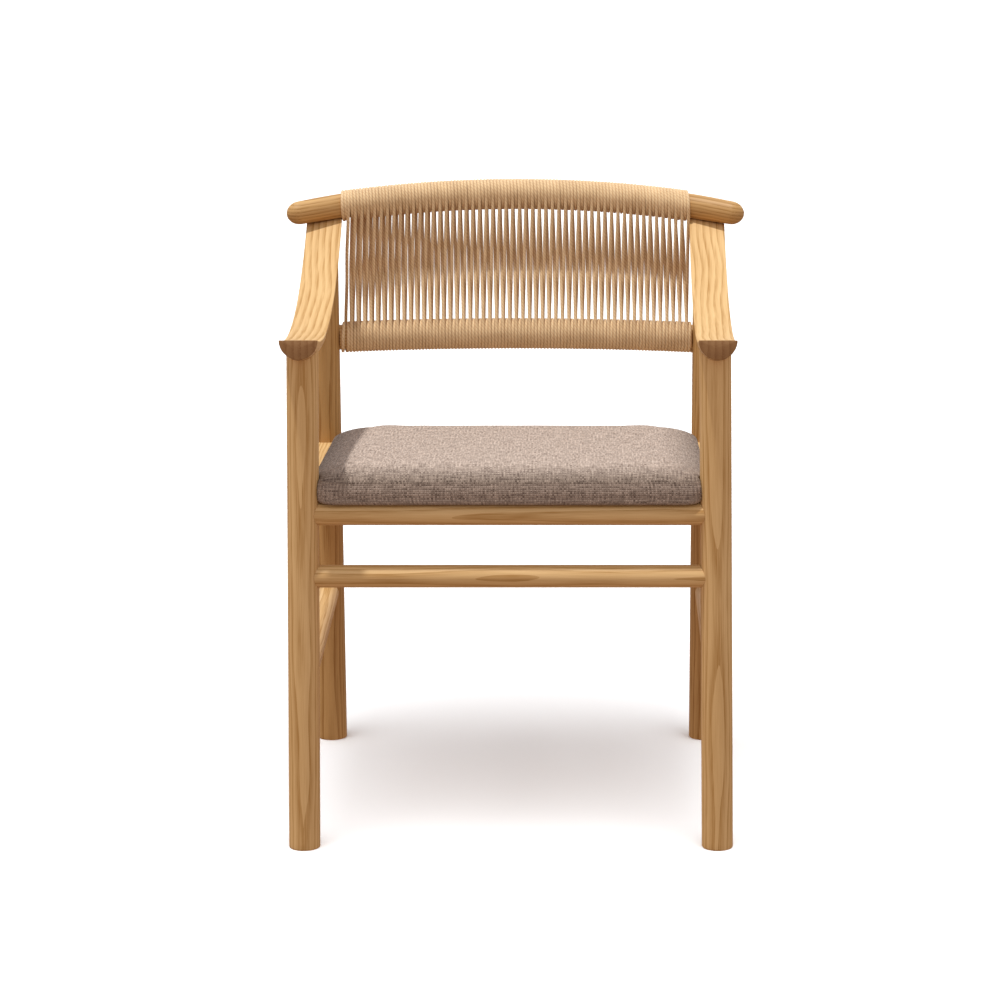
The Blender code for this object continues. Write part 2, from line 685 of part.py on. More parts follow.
cross_rail("front_stretcher", front_axis, FRONT_LEGS, FRONT_ROOM,
           FRONT_STRETCHER_Z, FRONT_LEG_R)
SEAT_RAIL_ROOMS = [
    cross_rail("front_seat_rail", front_axis, FRONT_LEGS, FRONT_ROOM,
               SEAT_FRONT_Z - GAP - RAIL_R, FRONT_LEG_R),
    cross_rail("rear_seat_rail", rear_axis, REAR_LEGS, REAR_ROOM, REAR_RAIL_Z, REAR_LEG_R)]
for hand in (-1, 1):
    make_side_seat_rail(hand, SEAT_RAIL_ROOMS)
    make_side_stretcher(hand)

make_lower_rail()
make_crest()
make_wraps()
make_web()

PANEL = make_panel()
for hand in (-1, 1):
    for end in (-1, 1):
        make_block(hand, end)
make_pad()
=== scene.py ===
# %% [markdown]
# # A wooden armchair with a cord-wound back
#
# The chair is an ash frame of round bars: four legs, two half-round arms that
# sweep up to a bowed crest rail, rails under the seat and stretchers below.
# One long paper cord is wound in figures of eight over the crest rail and the
# lower back rail, and the seat is a foam pad in grey-beige tweed.
#
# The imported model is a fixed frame.  Its solids say where everything is, and
# this script puts fine surfaces in their places, then gives each a finish.

# %% Load the fixed frame
import math

import bpy
import numpy as np
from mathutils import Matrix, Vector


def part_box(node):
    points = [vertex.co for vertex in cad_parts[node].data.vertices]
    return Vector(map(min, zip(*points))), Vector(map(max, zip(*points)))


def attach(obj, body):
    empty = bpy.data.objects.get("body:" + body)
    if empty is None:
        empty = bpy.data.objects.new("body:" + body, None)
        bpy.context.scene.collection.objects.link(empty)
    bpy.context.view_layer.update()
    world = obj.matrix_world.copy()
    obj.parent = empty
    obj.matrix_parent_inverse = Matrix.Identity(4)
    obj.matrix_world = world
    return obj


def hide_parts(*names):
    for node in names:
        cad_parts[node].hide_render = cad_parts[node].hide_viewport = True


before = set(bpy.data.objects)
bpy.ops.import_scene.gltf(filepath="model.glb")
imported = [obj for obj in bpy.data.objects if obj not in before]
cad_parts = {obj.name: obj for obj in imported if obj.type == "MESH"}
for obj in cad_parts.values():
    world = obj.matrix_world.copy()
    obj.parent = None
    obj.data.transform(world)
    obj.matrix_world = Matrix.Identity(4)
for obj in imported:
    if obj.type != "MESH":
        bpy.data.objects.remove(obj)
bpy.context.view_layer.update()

# %% [markdown]
# ## Camera
#
# The chair is seen from the front, with the camera a little above the back
# and 4 m away on a long lens, so that the legs stay nearly parallel.  It
# stands a little to the right of the chair, and a small sideways shift of the
# lens brings the chair back to the middle of the frame.

# %% Camera
CAMERA_PLACE = (0.0864, -4.3205, 1.3523)
CAMERA_DOWN = math.radians(12.58)
SENSOR = 36.0             # mm, a full-frame camera
LENS = 122.4              # mm
SHIFT = -0.08             # share of the frame's width

camera = bpy.data.objects.new("camera", bpy.data.cameras.new("camera"))
camera.data.sensor_width = SENSOR
camera.data.lens = LENS
camera.data.shift_x = SHIFT
camera.location = CAMERA_PLACE
camera.rotation_euler = (math.pi / 2 - CAMERA_DOWN, 0.0, 0.0)
bpy.context.scene.collection.objects.link(camera)
bpy.context.scene.camera = camera
bpy.context.scene.view_settings.view_transform = "Standard"
print("camera at", CAMERA_PLACE)

# %% [markdown]
# ## Building surfaces from grids
#
# Nearly every piece here is a tube: a closed outline carried along a path.
# As a grid that is one row for each step along the path and one column for
# each point of the outline.  Numpy works out the whole grid at once, and the
# faces only join neighbours, so one function can turn any grid into a mesh.
# Both ends get a fan of triangles to a middle point, which closes the solid.
# The solid's signed volume tells whether its faces look outwards.

# %% A grid of points becomes a closed tube
SHARP = math.radians(40)  # faces that meet at more than this show as an edge


def tube_faces(rows, cols):
    """Quads between each row and the next, round the columns, then a fan at each end."""
    index = np.arange(rows * cols).reshape(rows, cols)
    low, high = index[:-1], index[1:]
    quads = np.stack([low, np.roll(low, -1, 1), np.roll(high, -1, 1), high], -1).reshape(-1, 4)
    first, last = rows * cols, rows * cols + 1
    start = np.stack([np.roll(index[0], -1), index[0], np.full(cols, first)], -1)
    end = np.stack([index[-1], np.roll(index[-1], -1), np.full(cols, last)], -1)
    return quads.tolist() + start.tolist() + end.tolist()


def closed_mesh(name, grid):
    """A mesh through a grid of points.  Its volume is the sum of the triple products of the
    corners of each quad's two triangles; below zero, the faces look inwards and are turned."""
    rows, cols = grid.shape[:2]
    points = np.concatenate([grid.reshape(-1, 3), [grid[0].mean(0), grid[-1].mean(0)]])
    mesh = bpy.data.meshes.new(name)
    faces = tube_faces(rows, cols)
    mesh.from_pydata(points.tolist(), [], faces)
    corners = points[np.array(faces[:(rows - 1) * cols])]
    volume = np.einsum("ij,ij->i", np.cross(corners[:, 0], corners[:, 1]), corners[:, 2]).sum()
    volume += np.einsum("ij,ij->i", np.cross(corners[:, 0], corners[:, 2]), corners[:, 3]).sum()
    if volume < 0:
        mesh.flip_normals()
    mesh.shade_smooth()
    mesh.set_sharp_from_angle(angle=SHARP)
    return mesh


def piece(name, mesh, material, slot, *nodes):
    """Link a finished mesh, and say what it rides on, stands for and is finished with."""
    made = bpy.data.objects.new(name, mesh)
    bpy.context.scene.collection.objects.link(made)
    mesh.materials.append(material)
    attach(made, "root")
    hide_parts(*nodes)
    print(name, len(mesh.polygons), "faces")
    return made


# %% [markdown]
# ## Materials: two small helpers
#
# Colours are easiest to choose as the hex values of a paint card, which are
# sRGB.  A shader works in linear light, so one function converts them.  A
# second function adds a node with its settings and its links in one line.

# %% Colour and node helpers
def linear(hex_colour):
    """sRGB hex to linear RGBA: each channel to the power 2.4, with the straight toe near black."""
    channels = np.array([int(hex_colour[i:i + 2], 16) / 255 for i in (1, 3, 5)])
    light = np.where(channels <= 0.04045, channels / 12.92, ((channels + 0.055) / 1.055) ** 2.4)
    return (*light.tolist(), 1.0)


def add(tree, kind, inputs, **settings):
    """Add a node: settings are its properties, inputs are values or sockets by name or number."""
    made = tree.nodes.new("ShaderNode" + kind)
    for name, value in settings.items():
        setattr(made, name, value)
    for key, value in inputs.items():
        if isinstance(value, bpy.types.NodeSocket):
            tree.links.new(value, made.inputs[key])
        else:
            made.inputs[key].default_value = value
    return made.outputs


def new_material(name):
    """An empty material with its shader and its node tree."""
    material = bpy.data.materials.new(name)
    material.use_nodes = True
    return material, material.node_tree, material.node_tree.nodes["Principled BSDF"]


MM = 0.001

# %% [markdown]
# ## Oiled ash
#
# Ash is a pale, ring-porous wood: every year starts with a band of open pores
# that takes up oil and shows as a darker line, then fades to smooth, pale late
# wood.  A bar cuts through those rings, so the same rings give straight lines
# on its sides and tall arches where the surface runs along them.
#
# The material is therefore solid, not painted on.  Each piece carries its own
# board coordinates in an attribute called grain: x and y across the board and
# z along it, in metres.  Rings are slices across y that wander slowly along z.

# %% Oiled ash material
RING = 4.4 * MM           # spacing of the year rings; really 2 to 4 mm in ash
WANDER = 17 * MM          # how far the rings wander, end to end of a bar
RIPPLE = 1.6 * MM         # small waves on each ring
PORE_DEEP = 0.15 * MM     # depth of the open pores
FIBRE = 1.1 * MM          # streaks of fibre; really 0.2 mm, drawn coarser so that they show


def oiled_ash(name, pale, dark, coordinates=None, turn=(0.0, 0.0, 0.0)):
    """Growth rings: the fractional part of (y + wandering noise) / ring spacing, darkest at 0."""
    material, tree, shader = new_material(name)
    if coordinates:
        place = add(tree, "TexCoord", {})[coordinates]
        place = add(tree, "Mapping", {"Vector": place, "Rotation": turn})[0]
    else:
        place = add(tree, "Attribute", {}, attribute_name="grain")["Vector"]
    slow = add(tree, "VectorMath", {0: place, 1: (9.0, 3.0, 3.6)}, operation="MULTIPLY")[0]
    drift = add(tree, "TexNoise", {"Vector": slow, "Scale": 1.0, "Detail": 1.0})["Fac"]
    quick = add(tree, "VectorMath", {0: place, 1: (70.0, 70.0, 9.0)}, operation="MULTIPLY")[0]
    ripple = add(tree, "TexNoise", {"Vector": quick, "Scale": 1.0, "Detail": 2.0})["Fac"]
    depth = add(tree, "SeparateXYZ", {0: place})["Y"]
    depth = add(tree, "Math", {0: drift, 1: WANDER, 2: depth}, operation="MULTIPLY_ADD")[0]
    depth = add(tree, "Math", {0: ripple, 1: RIPPLE, 2: depth}, operation="MULTIPLY_ADD")[0]
    year = add(tree, "Math", {0: depth, 1: RING}, operation="DIVIDE")[0]
    season = add(tree, "Math", {0: year}, operation="FRACT")[0]
    early = add(tree, "MapRange", {0: season, 1: 0.0, 2: 0.75, 3: 1.0, 4: 0.0},
                interpolation_type="SMOOTHSTEP")[0]
    fine = add(tree, "VectorMath", {0: place, 1: (1 / FIBRE, 1 / FIBRE, 22.0)},
               operation="MULTIPLY")[0]
    fibre = add(tree, "TexNoise", {"Vector": fine, "Scale": 1.0, "Detail": 2.0})["Fac"]
    broad = add(tree, "VectorMath", {0: place, 1: (40.0, 40.0, 5.0)}, operation="MULTIPLY")[0]
    cloud = add(tree, "TexNoise", {"Vector": broad, "Scale": 1.0, "Detail": 1.0})["Fac"]
    pore = add(tree, "Math", {0: early, 1: fibre}, operation="MULTIPLY")[0]
    tone = add(tree, "Math", {0: pore, 1: 0.95, 2: -0.22}, operation="MULTIPLY_ADD")[0]
    tone = add(tree, "Math", {0: fibre, 1: 0.55, 2: tone}, operation="MULTIPLY_ADD")[0]
    tone = add(tree, "Math", {0: cloud, 1: 0.50, 2: tone}, operation="MULTIPLY_ADD",
               use_clamp=True)[0]
    colour = add(tree, "Mix", {0: tone, 6: linear(pale), 7: linear(dark)}, data_type="RGBA")[2]
    tree.links.new(colour, shader.inputs["Base Color"])
    rough = add(tree, "MapRange", {0: pore, 3: 0.50, 4: 0.66})[0]
    tree.links.new(rough, shader.inputs["Roughness"])
    shader.inputs["Specular IOR Level"].default_value = 0.35
    hollow = add(tree, "Math", {0: pore, 1: -1.0}, operation="MULTIPLY")[0]
    bump = add(tree, "Bump", {"Height": hollow, "Strength": 0.35, "Distance": PORE_DEEP})[0]
    tree.links.new(bump, shader.inputs["Normal"])
    return material


# Paler ash for the arms, the front legs and the rails: straw with brown lines, the brighter of two
# copies, for the pieces in the light.
ASH = oiled_ash("oiled_ash", "#E8C28A", "#B38549")
# A browner, darker copy for the crest rail and the rear legs; on the rear legs it is painted shade.
ASH_DARKER_SHADED = oiled_ash("oiled_ash_darker_shaded", "#D0A66C", "#9A6C33")
# End grain drinks the oil, so a sawn end looks darker than the bar it belongs to.
ASH_END = oiled_ash("oiled_ash_end_grain", "#A77F55", "#8A6038")
print("ash ring spacing", RING)


# %% [markdown]
# ## Board coordinates for a piece
#
# Every bar is cut from its own place in the plank.  The grain attribute is
# the point in a frame whose z runs along the bar; a bent bar uses the length
# along its path, so that the grain follows the bend.

# %% Writing the grain attribute
NEXT_BOARD = np.array([0.31, 0.0137, 1.7])     # metres from one piece's place in the plank to the next


def set_grain(mesh, coordinates, board):
    """Store board coordinates on the points; board moves each piece to another part of the plank."""
    rows = coordinates.reshape(-1, 3)
    ends = [coordinates[0].mean(0), coordinates[-1].mean(0)]
    values = np.concatenate([rows, ends]) + NEXT_BOARD * board
    layer = mesh.attributes.new("grain", "FLOAT_VECTOR", "POINT")
    layer.data.foreach_set("vector", values.astype(np.float32).ravel())


def unit(vector):
    """The same direction with length 1, for one vector or for rows of them."""
    vector = np.asarray(vector, dtype=float)
    return vector / np.linalg.norm(vector, axis=-1, keepdims=True)


SIDES = 72
TURN = np.arange(SIDES) * 2 * math.pi / SIDES

# %% [markdown]
# ## The arms
#
# An arm is a half-round bar, flat side up, sawn or bent to one long arc that
# is lowest near the front and climbs to the crest rail.  Its front end is cut
# plumb, its rear end square to the bar.  Every line along the bar is an arc
# about the same centre, so a point needs only the arc's angle and its place
# (u across, v down) in the half-round outline.

# %% The arm as arcs about one centre
ARM_WIDTH = 0.047
ARM_R = ARM_WIDTH / 2
ARM_ARC = 0.70            # radius of the flat top's arc
ARM_EASE = 1.1 * MM       # eased edges of the flat top and of the front end
FRONT_LEG_LOW, FRONT_LEG_HIGH = (np.array(c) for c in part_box("front_leg_right"))
REAR_LEG_LOW, REAR_LEG_HIGH = (np.array(c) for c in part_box("rear_leg_right"))
ARM_BOX_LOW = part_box("armrest_right")[0]
FRONT_Y = (FRONT_LEG_LOW[1] + FRONT_LEG_HIGH[1]) / 2
ARM_FRONT_Y = ARM_BOX_LOW[1]
ARM_LOW_Y = FRONT_Y + 0.12             # the arc's lowest point
ARM_LOW_Z = ARM_BOX_LOW[2] + ARM_R
ARM_FRONT_HALF = 0.2525                # from the chair's middle to the arm's, at the front
ARM_REAR_HALF = 0.2565                 # and under the crest rail
ARM_REAR_Y = FRONT_Y + 0.47364         # depth of the crest rail's middle line over the arm


def arm_outline():
    """Half-round outline with eased top edges: u across, v below the flat top."""
    flat = np.linspace(-(ARM_R - ARM_EASE), ARM_R - ARM_EASE, 16)
    ease = np.linspace(0, math.pi / 2, 5)[1:]
    start = math.asin(ARM_EASE / ARM_R)
    belly = np.linspace(start, math.pi - start, 44)[1:-1]
    edge_u = ARM_R - ARM_EASE + ARM_EASE * np.sin(ease)
    edge_v = ARM_EASE * (1 - np.cos(ease))
    u = np.concatenate([flat, edge_u, ARM_R * np.cos(belly), -edge_u[::-1]])
    v = np.concatenate([0 * flat, edge_v, ARM_R * np.sin(belly), edge_v[::-1]])
    return u, v


def arm_middle_x(y, side):
    """Across place of the arm's middle line at depth y: straight in plan, splayed to the rear."""
    share = (y - ARM_FRONT_Y) / (ARM_REAR_Y - ARM_FRONT_Y)
    return side * (ARM_FRONT_HALF + (ARM_REAR_HALF - ARM_FRONT_HALF) * share)


def arm_under(x, y, side):
    """Height of the arm's round underside above the point (x, y): an arc about the arm's centre,
    longer than the top's by the depth of the half round there."""
    across = x - arm_middle_x(y, side)
    below = np.sqrt(np.maximum(ARM_R ** 2 - across ** 2, 0))
    return ARM_LOW_Z + ARM_ARC - np.sqrt((ARM_ARC + below) ** 2 - (y - ARM_LOW_Y) ** 2)


# %% [markdown]
# ## The crest rail
#
# The crest rail is a round bar bowed backwards in a plane that tilts up to the
# rear, so that it leans with the sitter's back.  It thins towards its ends,
# which are rounded over like a finger tip.  Its middle line is an arc, and a
# round section is carried along it.

# %% Crest rail line and section
CREST_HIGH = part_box("crest_rail")[1]
CREST_R = 0.0167
CREST_TIP_R = 0.0150
CREST_HALF = CREST_HIGH[0]
CREST_BOW = 0.62          # radius of the bow
CREST_TILT = math.radians(13.2)
CREST_MID_Y = CREST_HIGH[1] - CREST_R
CREST_MID_Z = CREST_HIGH[2] - CREST_R
CREST_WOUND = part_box("crest_cord_wrap")[1][0]


def bow(x, radius):
    """How far an arc of this radius has fallen from its middle at x."""
    return radius - np.sqrt(radius ** 2 - x ** 2)


def crest_line(x):
    """Points on the crest rail's middle line."""
    fall = bow(x, CREST_BOW)
    return np.stack([x, CREST_MID_Y - fall * math.cos(CREST_TILT),
                     CREST_MID_Z - fall * math.sin(CREST_TILT)], -1)


def crest_radius(x):
    """Full size between the arms, a slight taper outside them and a quarter-round tip."""
    beyond = np.clip((np.abs(x) - CREST_WOUND) / (CREST_HALF - CREST_WOUND), 0, 1)
    size = CREST_R + (CREST_TIP_R - CREST_R) * beyond
    end = np.clip((CREST_HALF - np.abs(x)) / CREST_TIP_R, 0, 1)
    return size * np.sqrt(np.maximum(1 - (1 - end) ** 2, 0))


def sweep(path, radii_u, radii_v):
    """An oval section carried square to a path: u level across it, v up; both may vary along it."""
    ahead = unit(np.gradient(path, axis=0))
    up = unit(np.array([0.0, 0.0, 1.0]) - ahead * ahead[:, 2:3])
    across = np.cross(up, ahead)
    u = np.cos(TURN)[None, :, None] * across[:, None] * np.reshape(radii_u, (-1, 1, 1))
    v = np.sin(TURN)[None, :, None] * up[:, None] * np.reshape(radii_v, (-1, 1, 1))
    return path[:, None] + u + v


def path_length(path):
    """Distance along a path, from its first point."""
    steps = np.linalg.norm(np.diff(path, axis=0), axis=1)
    return np.concatenate([[0.0], np.cumsum(steps)])


def bar_grain(path, grid):
    """Board coordinates of a bent bar: across and up from its line, and the length along it."""
    away = grid - path[:, None]
    ahead = unit(np.gradient(path, axis=0))
    up = unit(np.array([0.0, 0.0, 1.0]) - ahead * ahead[:, 2:3])
    across = np.cross(up, ahead)
    u = np.einsum("rck,rk->rc", away, across)
    v = np.einsum("rck,rk->rc", away, up)
    along = np.broadcast_to(path_length(path)[:, None], u.shape)
    return np.stack([u, v, along], -1)


# %% [markdown]
# The stations stand closer together at the tips, where a fixed step in angle
# round the finger tip gives an evenly rounded end.

# %% Make the crest rail
tip = CREST_HALF - CREST_TIP_R * (1 - np.cos(np.linspace(0.02, 1.0, 14) * math.pi / 2))
stations = np.concatenate([-tip, np.linspace(-tip[-1], tip[-1], 90)[1:-1], tip[::-1]])
crest_path = crest_line(stations)
crest_grid = sweep(crest_path, crest_radius(stations), crest_radius(stations))
crest_mesh = closed_mesh("crest_rail_fine", crest_grid)
set_grain(crest_mesh, bar_grain(crest_path, crest_grid), 3)
piece("crest_rail_fine", crest_mesh, ASH_DARKER_SHADED, "frame_wood", "crest_rail")

# %% [markdown]
# ## The arms' surfaces
#
# A grid over the arm has a row for each cross cut and a column for each line
# along the bar.  The first rows draw the plumb front end in by the eased edge.
# Where the crest rail lies on the arm, the flat top is hollowed to its round,
# as a joiner beds one bar in another.

# %% Make the arms
ARM_SAWN = 0.5            # flat-sawn top: the rings meet it at a slant and look wider
ARM_HEART = 0.08          # distance of the tree's heart from the bar
ARM_TAIL = 0.016          # depth an arm runs on behind the crest rail's middle
BED_GAP = 0.3 * MM        # clearance of the bed round the crest rail
REAR_CUT = math.asin((ARM_REAR_Y + ARM_TAIL - ARM_LOW_Y) / ARM_ARC)


def make_arm(side, name):
    """Arcs of radius (top's + depth below it) about one centre, from the plumb front cut to the
    square rear cut; under the crest rail the height is cut down to the rail's round."""
    u, v = arm_outline()
    ease = np.linspace(0, math.pi / 2, 5)
    inset = np.concatenate([ARM_EASE * (1 - np.sin(ease)), np.zeros(120)])
    ahead = np.concatenate([ARM_EASE * (1 - np.cos(ease)), np.zeros(120)])
    middle = np.array([0.0, 0.42 * ARM_R])
    share = 1 - inset[:, None] / ARM_R
    u = middle[0] + (u - middle[0]) * share
    v = middle[1] + (v - middle[1]) * share
    first = np.arcsin((ARM_FRONT_Y + ahead[:, None] - ARM_LOW_Y) / (ARM_ARC + v))
    run = np.concatenate([np.zeros(5), np.linspace(0, 1, 121)[1:]])[:, None]
    angle = first + (REAR_CUT - first) * run
    y = ARM_LOW_Y + (ARM_ARC + v) * np.sin(angle)
    z = ARM_LOW_Z + ARM_ARC - (ARM_ARC + v) * np.cos(angle)
    x = arm_middle_x(y, side) + u
    line = crest_line(x)
    slant = np.sqrt(1 - (x / CREST_BOW) ** 2)
    off = (y - line[..., 1]) * slant
    bed = line[..., 2] - np.sqrt(np.maximum((CREST_R + BED_GAP) ** 2 - off ** 2, 0))
    z = np.where(np.abs(off) < CREST_R, np.minimum(z, bed), z)
    grid = np.stack([x, y, z], -1)
    mesh = closed_mesh(name + "_fine", grid)
    grain = np.stack([v - ARM_HEART, u * side * ARM_SAWN, angle * ARM_ARC], -1)
    set_grain(mesh, grain, 5 + side)
    made = piece(name + "_fine", mesh, ASH, "frame_wood", name)
    mesh.materials.append(ASH_END)
    rows, cols = grid.shape[:2]
    face = np.arange(len(mesh.polygons))
    front_cut = (face < 4 * cols) | ((face >= (rows - 1) * cols) & (face < rows * cols))
    mesh.polygons.foreach_set("material_index", front_cut.astype(np.int32))
    return made


for side, hand in ((-1, "left"), (1, "right")):
    make_arm(side, "armrest_" + hand)

# %% [markdown]
# ## The legs
#
# The legs are plain turned posts.  The front pair splays a little to the
# sides, and the rear pair leans forward.  Each leg's head is coped: it is
# hollowed to fit the round underside of the arm, so the top edge of the tube
# rises and falls with the arm's underside.  The foot has a small rounded edge.

# %% Make the legs
FRONT_LEG_R = 0.0195
REAR_LEG_R = (REAR_LEG_HIGH[0] - REAR_LEG_LOW[0]) / 2
FOOT_EDGE = 2.2 * MM
JOINT_GAP = 0.25 * MM
LEG_ROWS = 70

FRONT_FOOT = np.array([FRONT_LEG_HIGH[0] - FRONT_LEG_R, FRONT_Y, 0.0])
FRONT_LEAN = (FRONT_LEG_LOW[0] + FRONT_LEG_R - FRONT_FOOT[0]) / ARM_LOW_Z
REAR_X = (REAR_LEG_LOW[0] + REAR_LEG_HIGH[0]) / 2
REAR_FOOT = np.array([REAR_X, REAR_LEG_HIGH[1] - REAR_LEG_R, 0.0])
REAR_RAKE = 0.042         # forward lean per metre of height
LEG_LINES = {"front": (FRONT_FOOT, np.array([FRONT_LEAN, 0.0, 1.0]), FRONT_LEG_R),
             "rear": (REAR_FOOT, np.array([0.0, -REAR_RAKE, 1.0]), REAR_LEG_R)}


def leg_line(end, side):
    """A leg's foot, its direction (1 m of height per unit) and its radius."""
    foot, way, radius = LEG_LINES[end]
    flip = np.array([side, 1.0, 1.0])
    return foot * flip, way * flip, radius


def make_leg(end, side, name, board):
    """A post with level sections: its radius rounds in at the foot by a quarter circle, and each
    row climbs an equal share of the way to the arm's underside above that point."""
    foot, way, radius = leg_line(end, side)
    turn = np.linspace(0, math.pi / 2, 7)
    sizes = np.concatenate([[0.3 * radius, 0.7 * radius], radius - FOOT_EDGE * (1 - np.sin(turn)),
                            np.full(LEG_ROWS, radius), [0.6 * radius, 0.25 * radius]])
    low = np.concatenate([[0.0, 0.0], FOOT_EDGE * (1 - np.cos(turn)), np.zeros(LEG_ROWS + 2)])
    share = np.concatenate([np.zeros(9), np.linspace(0, 1, LEG_ROWS + 1)[1:], [1.0, 1.0]])
    ring = np.stack([np.cos(TURN), np.sin(TURN)], -1)
    z = np.broadcast_to(low[:, None], (len(sizes), SIDES))
    for _ in range(3):
        plan = foot[:2] + way[:2] * z[..., None] + sizes[:, None, None] * ring
        top = arm_under(plan[..., 0], plan[..., 1], side) - JOINT_GAP
        z = low[:, None] + (top - low[:, None]) * share[:, None]
    grid = np.concatenate([foot[:2] + way[:2] * z[..., None] + sizes[:, None, None] * ring,
                           z[..., None]], -1)
    mesh = closed_mesh(name + "_fine", grid)
    set_grain(mesh, grid - foot - way * z[..., None] + [0, 0, 1] * z[..., None], board)
    # The rear legs take the darker copy of the ash as painted shade.
    finish = ASH if end == "front" else ASH_DARKER_SHADED
    return piece(name + "_fine", mesh, finish, "frame_wood", name)


board = 8
for end in ("front", "rear"):
    for side, hand in ((-1, "left"), (1, "right")):
        make_leg(end, side, f"{end}_leg_{hand}", board)
        board += 1

# %% [markdown]
# ## Rails and stretchers
#
# A straight bar between two posts meets each along the curve where the two
# rounds cross.  Every line along the bar stops where it reaches the post,
# which is the smaller or larger root of one quadratic equation, so the whole
# coped end comes from a formula.

# %% Straight bars coped to posts
def reach(points, way, post, post_way, radius, side):
    """Distance along way from each point to a round post, where the part square to the post's
    axis has the length of its radius: the root of a t² + 2 b t + c = 0 on the given side."""
    axis = unit(post_way)
    square = way - (way @ axis) * axis
    apart = points - post
    apart = apart - (apart @ axis)[:, None] * axis
    a = square @ square
    b = apart @ square
    c = (apart ** 2).sum(-1) - radius ** 2
    return (-b + side * np.sqrt(np.maximum(b * b - a * c, 0))) / a


def coped_bar(name, start, end, outline, posts, board, turned=False):
    """A straight bar from post to post; outline is its (u, v) section, v up."""
    way = unit(end - start)
    across = unit(np.cross(way, [0.0, 0.0, 1.0]))
    up = np.cross(across, way)
    base = start + outline[0][:, None] * across + outline[1][:, None] * up
    (foot_a, way_a, radius_a), (foot_b, way_b, radius_b) = posts
    first = reach(base, way, foot_a, way_a, radius_a + JOINT_GAP, 1)
    last = reach(base, way, foot_b, way_b, radius_b + JOINT_GAP, -1)
    share = np.linspace(0, 1, 60)[:, None]
    along = first + (last - first) * share
    grid = base + along[..., None] * way
    mesh = closed_mesh(name + "_fine", grid)
    u = np.broadcast_to(outline[0], along.shape)
    v = np.broadcast_to(outline[1], along.shape)
    set_grain(mesh, np.stack([v, u, along] if turned else [u, v, along], -1), board)
    return piece(name + "_fine", mesh, ASH, "frame_wood", name)


def on_leg(end, side, height):
    """The point of a leg's axis at this height."""
    foot, way, _ = leg_line(end, side)
    return foot + way * height


RAIL_R = 0.014
ROUND = (RAIL_R * np.cos(TURN), RAIL_R * np.sin(TURN))


def node_height(name):
    """Height of a straight node's middle."""
    low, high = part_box(name)
    return (low[2] + high[2]) / 2


for name, end, board in (("front_seat_rail", "front", 14), ("front_stretcher", "front", 15),
                         ("rear_seat_rail", "rear", 16)):
    height = node_height(name)
    coped_bar(name, on_leg(end, -1, height), on_leg(end, 1, height), ROUND,
              [leg_line(end, -1), leg_line(end, 1)], board, turned=True)
for side, hand in ((-1, "left"), (1, "right")):
    name = "side_stretcher_" + hand
    height = node_height(name)
    coped_bar(name, on_leg("front", side, height), on_leg("rear", side, height), ROUND,
              [leg_line("front", side), leg_line("rear", side)], 18 + side)

# %% [markdown]
# The two side seat rails are flatter boards, because the pad rests on them.
# Their section is a rectangle with rounded edges: a small circle carried round
# the corners of a smaller rectangle.

# %% Make the side seat rails
SIDE_RAIL_WIDE = 0.032
SIDE_RAIL_TALL = 0.034
SIDE_RAIL_EDGE = 0.005


def soft_box(wide, tall, edge):
    """Rectangle outline with round corners: the corner of the inner box plus a small circle."""
    turn = TURN + math.pi / SIDES
    u = np.sign(np.cos(turn)) * (wide / 2 - edge) + edge * np.cos(turn)
    v = np.sign(np.sin(turn)) * (tall / 2 - edge) + edge * np.sin(turn)
    return u, v


SIDE_FRONT_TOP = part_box("side_seat_rail_right")[1][2]
SIDE_REAR_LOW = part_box("side_seat_rail_right")[0][2]
SIDE_FRONT_Z = SIDE_FRONT_TOP - SIDE_RAIL_TALL / 2
SIDE_REAR_Z = SIDE_REAR_LOW + SIDE_RAIL_TALL / 2
for side, hand in ((-1, "left"), (1, "right")):
    coped_bar("side_seat_rail_" + hand, on_leg("front", side, SIDE_FRONT_Z),
              on_leg("rear", side, SIDE_REAR_Z),
              soft_box(SIDE_RAIL_WIDE, SIDE_RAIL_TALL, SIDE_RAIL_EDGE),
              [leg_line("front", side), leg_line("rear", side)], 21 + side, turned=True)

# %% [markdown]
# ## The lower back rail
#
# An oval bar, bowed less than the crest rail, between the rear legs.  Only a
# few millimetres at each end stay bare; the cord hides the rest.

# %% Make the lower back rail
LOWER_BOX_LOW, LOWER_BOX_HIGH = (np.array(c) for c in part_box("lower_back_rail"))
LOWER_TALL = LOWER_BOX_HIGH[2] - LOWER_BOX_LOW[2]
LOWER_THICK = 0.024
LOWER_RISE = 0.036        # how far the middle stands behind the ends
LOWER_BOW = (REAR_X ** 2 + LOWER_RISE ** 2) / (2 * LOWER_RISE)
LOWER_Z = (LOWER_BOX_LOW[2] + LOWER_BOX_HIGH[2]) / 2
LOWER_MID_Y = LOWER_BOX_HIGH[1] - LOWER_THICK / 2
LOWER_BARE_HALF = REAR_X - REAR_LEG_R + 2 * MM


def lower_line(x):
    """Points on the lower back rail's middle line."""
    return np.stack([x, LOWER_MID_Y - bow(x, LOWER_BOW), np.full_like(x, LOWER_Z)], -1)


stations = np.linspace(-LOWER_BARE_HALF, LOWER_BARE_HALF, 60)
lower_path = lower_line(stations)
lower_grid = sweep(lower_path, np.full(60, LOWER_THICK / 2), np.full(60, LOWER_TALL / 2))
lower_mesh = closed_mesh("lower_back_rail_fine", lower_grid)
set_grain(lower_mesh, bar_grain(lower_path, lower_grid), 25)
piece("lower_back_rail_fine", lower_mesh, ASH, "frame_wood", "lower_back_rail")

